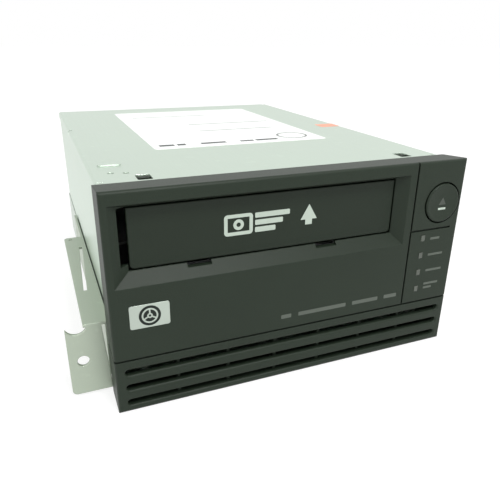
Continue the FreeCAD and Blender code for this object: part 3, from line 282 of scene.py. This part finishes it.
def zincSheet(name, colour, roughness=0.36, metal=0.85):
    # rolled and zinc plated sheet: faint crystals, rolling lines and scuffs, with a painted highlight along
    # bends and sharp edges and painted shade in narrow gaps
    s = sheetSettings
    shader = newShader(name)
    sockets = {"Vector": shader.objectPlace(), "Scale": s["crystals"]}
    crystals = shader.node("ShaderNodeTexVoronoi", {"feature": "F1"}, sockets, 1)
    grey = shader.node("ShaderNodeRGBToBW", {}, {0: crystals})
    lines = shader.noise(1, s["rollingDetail"], shader.stretched(s["rolling"]))
    blotch = shader.noise(*s["blotches"])
    uneven = grey * s["crystalShare"] + blotch * s["blotchShare"]
    tone = shader.mix(uneven, rgba(colour, s["dark"]), rgba(colour, s["light"]))
    scuffs = shader.noise(*s["scuffs"]).above(*s["scuffStep"])
    # painted highlight: sharp edges and bends are made lighter
    bendHighlight = shader.edges(s["edgeRadius"]).above(*s["edgeStep"])
    scuffsAndHighlight = shader.mix(scuffs * s["scuffShare"] + bendHighlight * s["bendHighlightShare"], tone, rgba(colour, s["scuffsAndHighlight"]))
    # painted shade: the colour falls to a share of itself in narrow gaps
    unshadedMask = shader.openness(s["gapReach"]).above(*s["gapStep"])
    height = lines + grey * s["crystalHeight"]
    rounded = shader.roundedNormal(s["edgeRadius"])
    rough = lines * s["lineRoughness"] + blotch * s["blotchRoughness"] + (roughness - s["roughnessLess"])
    shader.set(Base_Color=shader.mix(unshadedMask, rgba(colour, s["paintedShade"]), scuffsAndHighlight), Metallic=metal)
    shader.set(Roughness=rough, Normal=shader.bump(height, s["rollingDepth"], s["rollingStrength"], rounded))
    return shader.owner


metalSettings = {
    "ground": (0.62, 0.62, 0.63),
    "wire": (0.45, 0.45, 0.46),
    "screw": (0.52, 0.54, 0.52),
    "cast": (0.50, 0.51, 0.52),
    "motor": (0.30, 0.30, 0.31),
    "brass": (0.72, 0.50, 0.20),
    "badge": (0.47, 0.53, 0.47),
    "enamel": (0.03, 0.036, 0.032),
    "gold": (0.85, 0.62, 0.25),
    "haze": (60, 3),  # scale and detail
    "dark": 0.9,  # shares of the colour
    "light": 1.08,
    "marksDetail": 3,
    "marksStrength": 0.5,
    "edgeRadius": 0.0002,
    "roughSpread": 0.15,
    "roughnessLess": 0.07,
}


def machinedMetal(name, colour, roughness, scale=900, depth=0.00001):
    s = metalSettings
    shader = newShader(name)
    marks = shader.noise(scale, s["marksDetail"])
    tone = shader.mix(shader.noise(*s["haze"]), rgba(colour, s["dark"]), rgba(colour, s["light"]))
    normal = shader.bump(marks, depth, s["marksStrength"], shader.roundedNormal(s["edgeRadius"]))
    rough = marks * s["roughSpread"] + (roughness - s["roughnessLess"])
    shader.set(Base_Color=tone, Metallic=1.0, Roughness=rough, Normal=normal)
    return shader.owner


boardSettings = {
    "mask": (0.010, 0.075, 0.028),
    "run": (0.022, 0.14, 0.05),
    "runs": {"Scale": 90.0, "Mortar Size": 0.012},
    "runOffset": 0.3,
    "runDepth": 0.00003,
    "runStrength": 0.6,
    "patches": 200,
    "roughSpread": 0.1,
    "roughness": 0.25,
}


def boardLaminate(name):
    # solder mask with faint copper runs under it
    s = boardSettings
    shader = newShader(name)
    sockets = {"Vector": shader.objectPlace(), **s["runs"]}
    runs = shader.node("ShaderNodeTexBrick", {"offset": s["runOffset"]}, sockets, 1)
    shader.set(Base_Color=shader.mix(runs, rgba(s["mask"]), rgba(s["run"])))
    shader.set(Roughness=shader.noise(s["patches"]) * s["roughSpread"] + s["roughness"])
    shader.set(Normal=shader.bump(runs, s["runDepth"], s["runStrength"]))
    return shader.owner


paperSettings = {
    "label": (0.86, 0.88, 0.86),
    "seal": (0.86, 0.36, 0.24),
    "fibres": (700, 4),  # scale and detail
    "dark": 0.97,
    "depth": 0.00001,
    "strength": 0.3,
    "roughSpread": 0.1,
    "roughness": 0.42,
}


def paper(name, colour):
    s = paperSettings
    shader = newShader(name)
    fibres = shader.noise(*s["fibres"])
    shader.set(Base_Color=shader.mix(fibres, rgba(colour, s["dark"]), rgba(colour)))
    shader.set(Roughness=fibres * s["roughSpread"] + s["roughness"])
    shader.set(Normal=shader.bump(fibres, s["depth"], s["strength"]))
    return shader.owner


pipeSettings = {
    "colour": (0.058, 0.07, 0.053),
    "dark": 0.9,
    "clouds": 400,
    "roughSpread": 0.08,
    "roughness": 0.18,
    "coat": 0.4,
    "coatRoughness": 0.1,
}


def clearPlastic(name, s):
    shader = newShader(name)
    depth = shader.noise(s["clouds"])
    shader.set(Base_Color=shader.mix(depth, rgba(s["colour"], s["dark"]), rgba(s["colour"])))
    shader.set(Roughness=depth * s["roughSpread"] + s["roughness"])
    shader.set(Coat_Weight=s["coat"], Coat_Roughness=s["coatRoughness"])
    return shader.owner


plastics, sheets, metals = plasticSettings, sheetSettings, metalSettings
finishes = {  # a slot's own name, colour and roughness
    "bezel_plastic": mouldedPlastic("bezelPlastic", plastics["charcoal"], 0.46),
    "door_plastic": mouldedPlastic("doorPlastic", plastics["charcoalDark"], 0.44),
    "button_plastic": mouldedPlastic("buttonPlastic", plastics["charcoal"], 0.42),
    "part_black": mouldedPlastic("blackPlastic", plastics["black"], 0.4, wear=0.1),
    "connector_white": mouldedPlastic("ivoryPlastic", plastics["ivory"], 0.4, wear=0.0),
    "gear_plastic": mouldedPlastic("gearNylon", plastics["nylon"], 0.35, grain=False, wear=0.0),
    "hub_plastic": mouldedPlastic("hubPlastic", plastics["black"], 0.35, wear=0.1),
    "reel_plastic": mouldedPlastic("reelPlastic", plastics["reel"], 0.3, grain=False, wear=0.0),
    "fan_plastic": mouldedPlastic("fanPlastic", plastics["black"], 0.38, wear=0.15),
    "cover_steel": zincSheet("coverSheet", sheets["cover"]),
    "pan_steel": zincSheet("panSheet", sheets["pan"]),
    "bracket_steel": zincSheet("bracketSheet", sheets["bracket"], 0.42, 0.7),
    "tray_steel": zincSheet("traySheet", sheets["inner"], 0.3),
    "badge_metal": machinedMetal("badgeMetal", metals["badge"], 0.4),
    "badge_dark": machinedMetal("badgeEnamel", metals["enamel"], 0.35),
    "pin_steel": machinedMetal("groundSteel", metals["ground"], 0.3),
    "spring_steel": machinedMetal("springWire", metals["wire"], 0.25),
    "screw_steel": machinedMetal("screwZinc", metals["screw"], 0.3),
    "motor_steel": machinedMetal("motorSteel", metals["motor"], 0.35),
    "deck_cast": machinedMetal("castAlloy", metals["cast"], 0.5, 500, 0.00004),
    "gear_brass": machinedMetal("gearBrass", metals["brass"], 0.28),
    "roller_aluminium": machinedMetal("rollerAlloy", metals["ground"], 0.32),
    "head_ceramic": mouldedPlastic("headCeramic", plastics["ceramic"], 0.15, grain=False, wear=0.0),
    "board_laminate": boardLaminate("boardMask"),
    "label_paper": paper("labelPaper", paperSettings["label"]),
    "seal_paper": paper("sealPaper", paperSettings["seal"]),
    "contact_gold": machinedMetal("contactGilt", metals["gold"], 0.25),
    "light_pipe": clearPlastic("lightPipe", pipeSettings),
}
slotOf = {part["node"]: part["material_slot"] for part in frame["record"]["subparts"]}
for name, part in nodes.items():
    part.data.materials.clear()
    part.data.materials.append(finishes[slotOf[name]])
print("finishes given to", len(nodes), "nodes")


# pieces: flat shapes are drawn in a plane in millimetres, given a thickness and laid on a face

inkThickness = 0.03
cornerCuts = 5
ringSides = 40


def meshObject(name, bm, material):
    data = bpy.data.meshes.new(name)
    bm.to_mesh(data)
    bm.free()
    made = bpy.data.objects.new(name, data)
    bpy.context.collection.objects.link(made)
    if material:
        data.materials.append(material)
    return made


def addBar(bm, left, low, right, high):
    verts = bmesh.ops.create_grid(bm, x_segments=1, y_segments=1, size=0.5)["verts"]
    bmesh.ops.scale(bm, verts=verts, vec=(right - left, high - low, 1))
    bmesh.ops.translate(bm, verts=verts, vec=((left + right) / 2, (low + high) / 2, 0))
    return verts


def addPlate(bm, left, low, right, high, corner):
    verts = addBar(bm, left, low, right, high)
    bmesh.ops.bevel(bm, geom=verts, offset=corner, segments=cornerCuts, profile=0.5, affect="VERTICES",
                    material=-1)


def addDisc(bm, x, y, radius, sides):
    verts = bmesh.ops.create_circle(bm, cap_ends=True, segments=sides, radius=radius)["verts"]
    bmesh.ops.translate(bm, verts=verts, vec=(x, y, 0))


def addRing(bm, x, y, outer, inner, sides=ringSides):
    rims = [bmesh.ops.create_circle(bm, segments=sides, radius=radius)["verts"] for radius in (outer, inner)]
    edges = {edge for rim in rims for vert in rim for edge in vert.link_edges}
    bmesh.ops.bridge_loops(bm, edges=list(edges))
    bmesh.ops.translate(bm, verts=[*rims[0], *rims[1]], vec=(x, y, 0))


def hollowed(bm, border):
    # keeps only a border of the plate that was added last
    plate = max(bm.faces, key=lambda face: face.calc_area())
    bmesh.ops.inset_region(bm, faces=[plate], thickness=border, use_boundary=True, use_even_offset=True)
    bmesh.ops.delete(bm, geom=[plate], context="FACES")


def turnedTo(across, up, out, place):
    # takes a drawing's right, up and outward directions to the object's, and its millimetres to metres
    axes = Matrix((across, up, out)).transposed().to_4x4()
    return Matrix.Translation(place) @ axes @ Matrix.Scale(mm, 4)


def onFront(x, y, z):
    return turnedTo((1, 0, 0), (0, 0, 1), (0, -1, 0), (x, y, z))


def onTop(x, y, z):
    return turnedTo((1, 0, 0), (0, 1, 0), (0, 0, 1), (x, y, z))


def onBack(x, y, z):
    return turnedTo((-1, 0, 0), (0, 0, 1), (0, 1, 0), (x, y, z))


def onLeft(x, y, z):
    return turnedTo((0, -1, 0), (0, 0, 1), (-1, 0, 0), (x, y, z))


def finished(name, bm, material, body):
    bmesh.ops.recalc_face_normals(bm, faces=bm.faces)
    piece = meshObject(name, bm, material)
    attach(piece, body)


def laid(name, bm, place, thickness, material, body):
    grown = bmesh.ops.extrude_face_region(bm, geom=bm.faces[:])["geom"]
    raised = [part for part in grown if isinstance(part, bmesh.types.BMVert)]
    bmesh.ops.translate(bm, verts=raised, vec=(0, 0, thickness))
    bmesh.ops.transform(bm, matrix=place, verts=bm.verts)
    finished(name, bm, material, body)


inkSettings = {
    "white": (0.43, 0.50, 0.43),
    "shade": (0.045, 0.055, 0.043),
    "faint": (0.075, 0.09, 0.072),
    "dark": (0.045, 0.055, 0.05),
    "line": (0.20, 0.22, 0.20),
    "worn": 0.72,  # the ink is thin where the noise is above this
    "even": 0.9,
    "wearSoftness": 0.06,
    "wear": (900, 4),  # scale and detail
    "under": 3.0,  # share of the plastic's colour that shows through
    "grain": (3000, 2),
    "grainDepth": 0.000004,
    "grainStrength": 0.5,
    "roughSpread": 0.1,
    "roughness": 0.45,
}


def wornInk(name, colour, wornAbove):
    # screen print: a little thinner in places, so the surface under it shows through
    s = inkSettings
    shader = newShader(name)
    thin = shader.noise(*s["wear"]).above(wornAbove, s["wearSoftness"])
    fine = shader.noise(*s["grain"])
    shader.set(Base_Color=shader.mix(thin, rgba(colour), rgba(plasticSettings["charcoal"], s["under"])))
    shader.set(Roughness=fine * s["roughSpread"] + s["roughness"])
    shader.set(Normal=shader.bump(fine, s["grainDepth"], s["grainStrength"]))
    return shader.owner


inks = {
    "white": wornInk("whiteInk", inkSettings["white"], inkSettings["worn"]),
    "shade": wornInk("shadeInk", inkSettings["shade"], inkSettings["even"]),
    "faint": wornInk("faintInk", inkSettings["faint"], inkSettings["worn"]),
    "dark": wornInk("darkInk", inkSettings["dark"], inkSettings["even"]),
    "line": wornInk("lineInk", inkSettings["line"], inkSettings["even"]),
}


# door: a cartridge with its tape running out of it, and an arrow for the way in

doorMarkSettings = {
    "left": -30.9,
    "low": 62.2,
    "cartridge": (0.0, 0.0, 11.2, 8.1),
    "corner": 1.3,
    "border": 1.35,
    "hub": (5.6, 4.05, 2.05, 0.85),
    "tapes": ((12.1, 5.9, 26.2, 7.9), (12.1, 3.1, 23.4, 5.1), (12.1, 0.3, 20.4, 2.3)),
    "tapeCorner": 0.4,
    "arrowMiddle": (34.4, 4.8),
    "arrowHead": 4.032,  # radius
    "stem": (32.95, 0.7, 35.85, 2.784),
}


def addDoorMarks(s):
    bm = bmesh.new()
    addPlate(bm, *s["cartridge"], s["corner"])
    hollowed(bm, s["border"])
    addRing(bm, *s["hub"])
    for tape in s["tapes"]:
        addPlate(bm, *tape, s["tapeCorner"])
    addDisc(bm, *s["arrowMiddle"], s["arrowHead"], sides=3)
    addBar(bm, *s["stem"])
    place = onFront(s["left"] * mm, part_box("tape_door")[0].y, s["low"] * mm)
    laid("doorMarks", bm, place, inkThickness, inks["white"], "door_flap")


addDoorMarks(doorMarkSettings)


# badge: a dark disc on the satin plate, with a tape reel in it

badgeSettings = {
    "disc": 3.95,
    "ring": (2.95, 2.35),  # outer and inner radius
    "hub": (1.0, 0.45),
    "sides": 64,
    "spokes": 3,
    "spokeWidth": 0.55,
    "firstSpoke": 90,  # degrees
}


def addBadge(s):
    low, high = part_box("badge_plate")
    middle = (low + high) / 2
    bm = bmesh.new()
    addDisc(bm, 0, 0, s["disc"], s["sides"])
    place = onFront(middle.x, low.y, middle.z)
    laid("badgeDisc", bm, place, inkThickness, finishes["badge_dark"], "drive_case")
    bm = bmesh.new()
    addRing(bm, 0, 0, *s["ring"], s["sides"])
    addRing(bm, 0, 0, *s["hub"])
    for spoke in range(s["spokes"]):
        verts = addBar(bm, s["hub"][0], -s["spokeWidth"] / 2, s["ring"][1], s["spokeWidth"] / 2)
        turn = math.radians(s["firstSpoke"] + spoke * 360 / s["spokes"])
        bmesh.ops.rotate(bm, verts=verts, cent=(0, 0, 0), matrix=Matrix.Rotation(turn, 3, "Z"))
    place = onFront(middle.x, low.y - inkThickness * mm, middle.z)
    laid("badgeReel", bm, place, inkThickness, finishes["badge_metal"], "drive_case")


addBadge(badgeSettings)
print("door and badge marked")


# printed bars beside each light, in lines up from the lowest light

legendSettings = {
    "start": 4.0,  # from the middle of the light
    "height": 1.0,
    "lengths": ((7.6, 4.4), (8.3,), (7.7,), (4.8,)),
    "lineGap": 1.9,
    "lightMiddle": 2.0,  # of the end lights, from the ends of their row
}


def addLegends(s):
    low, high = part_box("led_light_pipes")
    first = low.z + s["lightMiddle"] * mm
    pitch = (high.z - low.z - 2 * s["lightMiddle"] * mm) / (len(s["lengths"]) - 1)
    bm = bmesh.new()
    for row, lengths in enumerate(s["lengths"]):
        top = (first + row * pitch) / mm + s["lineGap"] * (len(lengths) - 1) / 2
        for line, length in enumerate(lengths):
            middle = top - line * s["lineGap"]
            addBar(bm, s["start"], middle - s["height"] / 2, s["start"] + length, middle + s["height"] / 2)
    place = onFront((low.x + high.x) / 2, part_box("front_bezel")[0].y, 0)
    laid("lightLegends", bm, place, inkThickness, inks["faint"], "drive_case")


addLegends(legendSettings)


# a row of printed bars under the door

rowSettings = {
    "left": -8.7,
    "low": 25.8,
    "height": 1.7,
    "lengths": (4.4, 22.0, 12.6, 6.4),
    "gap": 3.2,
    "corner": 0.3,
    "behindBadge": 0.1,  # the face lies this far behind the badge's plate
}


def addRow(s):
    bm = bmesh.new()
    x = 0
    for length in s["lengths"]:
        addPlate(bm, x, 0, x + length, s["height"], s["corner"])
        x += length + s["gap"]
    place = onFront(s["left"] * mm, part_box("badge_plate")[0].y + s["behindBadge"] * mm, s["low"] * mm)
    laid("faceRow", bm, place, inkThickness, inks["faint"], "drive_case")


addRow(rowSettings)


# eject button: a wedge over a bar, printed in the dish

ejectSettings = {
    "wedge": 2.1,  # radius
    "wedgeHeight": 0.3,  # over the button's middle
    "bar": (-1.9, -2.9, 1.9, -2.0),
    "dish": 0.5,  # depth
    "dishEdge": 7.6,
    "cuts": 3,
}


def dished(bm, s):
    # bends a flat mark into the hollow of the cap
    bmesh.ops.subdivide_edges(bm, edges=bm.edges[:], cuts=s["cuts"], use_grid_fill=True)
    for vert in bm.verts:
        vert.co.z -= s["dish"] * (1 - (vert.co.xy.length / s["dishEdge"]) ** 2)


def addEjectMark(s):
    low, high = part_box("eject_button")
    radius = (high.z - low.z) / 2
    place = onFront(low.x + radius, low.y, low.z + radius)
    bm = bmesh.new()
    addDisc(bm, 0, s["wedgeHeight"], s["wedge"], sides=3)
    dished(bm, s)
    laid("ejectWedge", bm, place, inkThickness, inks["shade"], "button_cap")
    bm = bmesh.new()
    addBar(bm, *s["bar"])
    dished(bm, s)
    laid("ejectBar", bm, place, inkThickness, inks["white"], "button_cap")


addEjectMark(ejectSettings)
print("face printed")


# paper label on the lid, with ruled lines and blank blocks, and a small orange seal

labelSettings = {
    "corners": (-41.0, -36.0, 46.0, 83.0),
    "corner": 2.0,
    "rules": ((-8.0, 26.0, 40.0, 27.0), (-8.0, 4.0, 34.0, 5.0), (-33.0, 60.0, 12.0, 60.8)),
    "blocks": ((-37.5, -30.0, -30.5, -26.6), (-29.0, -30.0, -25.0, -26.6), (-17.6, -30.0, -5.2, -27.0),
               (2.2, -30.0, 9.0, -27.4), (10.4, -30.0, 21.9, -27.0)),
    "ring": (33.0, -22.0, 8.0, 6.9),
    "thickness": 0.08,
    "seal": (61.0, -4.0, 72.5, 5.0),
    "sealCorner": 1.0,
    "sealThickness": 0.06,
    "lidRelief": 2.0,  # no bump or hollow of the lid is deeper
}


def lidHeight(relief):
    # most of the cover's highest corners lie on the flat of the lid, to a hundredth of a millimetre
    heights = [round(vert.co.z, 5) for vert in nodes["top_cover"].data.vertices]
    high = [height for height in heights if height > max(heights) - relief * mm]
    return max(set(high), key=high.count)


def addLabel(s):
    lid = lidHeight(s["lidRelief"])
    place = onTop(0, 0, lid)
    bm = bmesh.new()
    addPlate(bm, *s["corners"], s["corner"])
    laid("lidLabel", bm, place, s["thickness"], finishes["label_paper"], "drive_case")
    printPlace = onTop(0, 0, lid + s["thickness"] * mm)
    bm = bmesh.new()
    for rule in s["rules"]:
        addBar(bm, *rule)
    addRing(bm, *s["ring"])
    laid("labelRules", bm, printPlace, inkThickness, inks["line"], "drive_case")
    bm = bmesh.new()
    for block in s["blocks"]:
        addBar(bm, *block)
    laid("labelBlocks", bm, printPlace, inkThickness, inks["dark"], "drive_case")
    bm = bmesh.new()
    addPlate(bm, *s["seal"], s["sealCorner"])
    laid("lidSeal", bm, place, s["sealThickness"], finishes["seal_paper"], "drive_case")


addLabel(labelSettings)
print("lid labelled")


# cross recesses cut into the screw heads

crossSettings = {
    "reach": 0.64,  # a share of the head's radius
    "depth": 0.8,
    "taper": 0.55,
    "over": 0.2,  # the cutter stands this far over the head
    "merge": 0.000001,
}


def mergedCopy(node, merge):
    bm = bmesh.new()
    bm.from_mesh(nodes[node].data)
    bmesh.ops.remove_doubles(bm, verts=bm.verts, dist=merge)
    return bm


def looseBoxes(bm):
    # the lowest and highest corner of each loose solid
    boxes = []
    left = set(bm.verts)
    while left:
        solid = rim = {left.pop()}
        while rim:
            rim = {link.other_vert(vert) for vert in rim for link in vert.link_edges} - solid
            solid = solid | rim
        left -= solid
        places = [[vert.co[axis] for vert in solid] for axis in range(3)]
        boxes.append([Vector(map(pick, places)) for pick in (min, max)])
    return boxes


def isCorner(face):
    # the other five lie on a middle line, where x or y is 0
    middle = face.calc_center_median()
    return abs(middle.x * middle.y) > 0.01


def addCross(bm, place, reach, s):
    # the middle row and column of a grid of nine, sunk and narrowed
    cross = bmesh.new()
    bmesh.ops.create_grid(cross, x_segments=3, y_segments=3, size=reach)
    bmesh.ops.delete(cross, geom=[face for face in cross.faces if isCorner(face)], context="FACES")
    foot = bmesh.ops.extrude_face_region(cross, geom=cross.faces[:])["geom"]
    foot = [part for part in foot if isinstance(part, bmesh.types.BMVert)]
    bmesh.ops.scale(cross, verts=foot, vec=(s["taper"], s["taper"], 1))
    bmesh.ops.translate(cross, verts=foot, vec=(0, 0, -s["depth"]))
    rim = [vert for vert in cross.verts if vert not in foot]
    bmesh.ops.translate(cross, verts=rim, vec=(0, 0, s["over"]))
    bmesh.ops.transform(cross, matrix=place, verts=cross.verts)
    bmesh.ops.recalc_face_normals(cross, faces=cross.faces)
    data = bpy.data.meshes.new("cross")
    cross.to_mesh(data)
    cross.free()
    bm.from_mesh(data)
    bpy.data.meshes.remove(data)


def crossPlace(low, high, facing):
    middle = (low + high) / 2
    if facing == "back":
        return onBack(middle.x, high.y, middle.z), high.z - low.z
    if facing == "left":
        return onLeft(low.x, middle.y, middle.z), high.z - low.z
    return onTop(middle.x, middle.y, high.z), high.y - low.y


def addCrossedScrews(s, node, name, facing):
    bm = mergedCopy(node, s["merge"])
    cutter = bmesh.new()
    for low, high in looseBoxes(bm):
        place, width = crossPlace(low, high, facing)
        addCross(cutter, place, width / 2 / mm * s["reach"], s)
    screws = meshObject(name, bm, finishes[slotOf[node]])
    crosses = meshObject("crosses", cutter, None)
    cut = screws.modifiers.new("recess", "BOOLEAN")
    cut.operation = "DIFFERENCE"
    cut.solver = "EXACT"
    cut.object = crosses
    bpy.context.view_layer.update()
    whole = screws.evaluated_get(bpy.context.evaluated_depsgraph_get())
    recessed = bpy.data.meshes.new_from_object(whole)
    screws.modifiers.clear()
    screws.data = recessed
    bpy.data.objects.remove(crosses)
    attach(screws, "drive_case")
    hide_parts(node)
    print(name, "has", len(recessed.polygons), "faces")


addCrossedScrews(crossSettings, "cover_screws", "coverScrews", "back")
addCrossedScrews(crossSettings, "fan_screws", "fanScrews", "back")
addCrossedScrews(crossSettings, "bracket_screws", "bracketScrews", "left")
addCrossedScrews(crossSettings, "board_posts", "boardPosts", "up")
print("screw heads crossed")


# gilt contacts in rows on the ribbon socket's blade

bladeSettings = {
    "rows": 34,
    "pitch": 1.6,
    "width": 0.8,
    "length": 5.0,
    "half": 1.1,  # half the blade's thickness
    "back": 1.8,  # from the socket's back to the contacts' ends
}


def addBladeContacts(s):
    low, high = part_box("data_connector")
    middle = (low + high) / 2
    for name, rise in (("contactsAbove", s["half"]), ("contactsBelow", -s["half"] - inkThickness)):
        bm = bmesh.new()
        for row in range(s["rows"]):
            x = (row - (s["rows"] - 1) / 2) * s["pitch"]
            addBar(bm, x - s["width"] / 2, -s["length"], x + s["width"] / 2, 0)
        place = onTop(middle.x, high.y - s["back"] * mm, middle.z + rise * mm)
        laid(name, bm, place, inkThickness, finishes["contact_gold"], "drive_case")


# gilt sleeves on the supply socket's pins

pinSettings = {
    "pins": 4,
    "pitch": 5.08,
    "radius": 1.03,
    "sides": 24,
    "length": 6.7,
    "back": 1.65,
    "tip": 0.3,
    "tipCuts": 3,
}


def addPinSleeves(s):
    low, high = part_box("power_connector")
    middle = (low + high) / 2
    reach = high.y - (s["back"] + s["length"] / 2) * mm
    bm = bmesh.new()
    for pin in range(s["pins"]):
        made = bmesh.ops.create_cone(bm, cap_ends=True, segments=s["sides"], radius1=s["radius"],
                                     radius2=s["radius"], depth=s["length"])["verts"]
        tip = {vert for vert in made if vert.co.z > 0}
        rim = {edge for vert in tip for edge in vert.link_edges if edge.other_vert(vert) in tip}
        x = middle.x + (pin - (s["pins"] - 1) / 2) * s["pitch"] * mm
        bmesh.ops.transform(bm, matrix=onBack(x, reach, middle.z), verts=made)
        bmesh.ops.bevel(bm, geom=list(rim), offset=s["tip"] * mm, segments=s["tipCuts"], profile=0.5,
                        affect="EDGES", material=-1)
    finished("powerPins", bm, finishes["contact_gold"], "drive_case")


addBladeContacts(bladeSettings)
addPinSleeves(pinSettings)
print("contacts gilded")


# room

roomSettings = {
    "floorHeight": -1.3 * mm,
    "floorSize": 6.0,
    "floorColour": (0.86, 0.86, 0.86),
    "floorRoughness": 0.9,
    "shadowKept": 0.35,
    "glow": 1.16,
    "worldLight": 0.66,  # a world of strength 1 is white
    "keyFrom": (-0.35, -0.72, 1.05),
    "keyStrength": 0.8,
    "keyAngle": 90,  # degrees across, for soft shadows
    "lamps": (  # name, place, size, watts
        ("front", (0.09, -0.58, 0.85), 0.25, 4.5),
        ("left", (-1.20, -0.10, 0.60), 0.7, 2),
        ("right", (1.20, 0.40, 0.80), 0.9, 2),
    ),
}


def addFloor(s):
    bm = bmesh.new()
    bmesh.ops.create_grid(bm, x_segments=1, y_segments=1, size=s["floorSize"])
    bmesh.ops.translate(bm, verts=bm.verts, vec=(0, 0, s["floorHeight"]))
    shader = newShader("floorWhite")
    shader.set(Base_Color=rgba(s["floorColour"]), Roughness=s["floorRoughness"])
    glow = shader.node("ShaderNodeEmission", {}, {"Color": (1, 1, 1, 1), "Strength": s["glow"]})
    kept = shader.seenDirectly() * (1 - s["shadowKept"])
    lit = Wire(shader, shader.surface.outputs[0])
    blend = shader.node("ShaderNodeMixShader", {}, {0: kept, 1: lit, 2: glow})
    shader.feed(shader.tree.nodes["Material Output"].inputs["Surface"], blend)
    meshObject("floor", bm, shader.owner)


def addLamp(name, kind, place, strength):
    data = bpy.data.lights.new(name, kind)
    data.energy = strength
    lamp = bpy.data.objects.new(name, data)
    lamp.location = place
    lamp.rotation_euler = (-Vector(place)).to_track_quat("-Z", "Y").to_euler()
    bpy.context.collection.objects.link(lamp)
    return lamp


def addLamps(s):
    addLamp("key", "SUN", s["keyFrom"], s["keyStrength"]).data.angle = math.radians(s["keyAngle"])
    for name, place, size, watts in s["lamps"]:
        lamp = addLamp(name, "AREA", place, watts)
        lamp.data.size = size
        lamp.visible_camera = False


def addWorld(s):
    world = bpy.data.worlds.new("studio")
    bpy.context.scene.world = world
    shader = Shader(world, "Background")
    sockets = {"Value": shader.seenDirectly(), "To Min": s["worldLight"], "To Max": 1.0}
    shader.set(Color=(1, 1, 1, 1), Strength=shader.node("ShaderNodeMapRange", {}, sockets))


addFloor(roomSettings)
addLamps(roomSettings)
addWorld(roomSettings)
bpy.context.scene.view_settings.view_transform = "Standard"
print("room built")
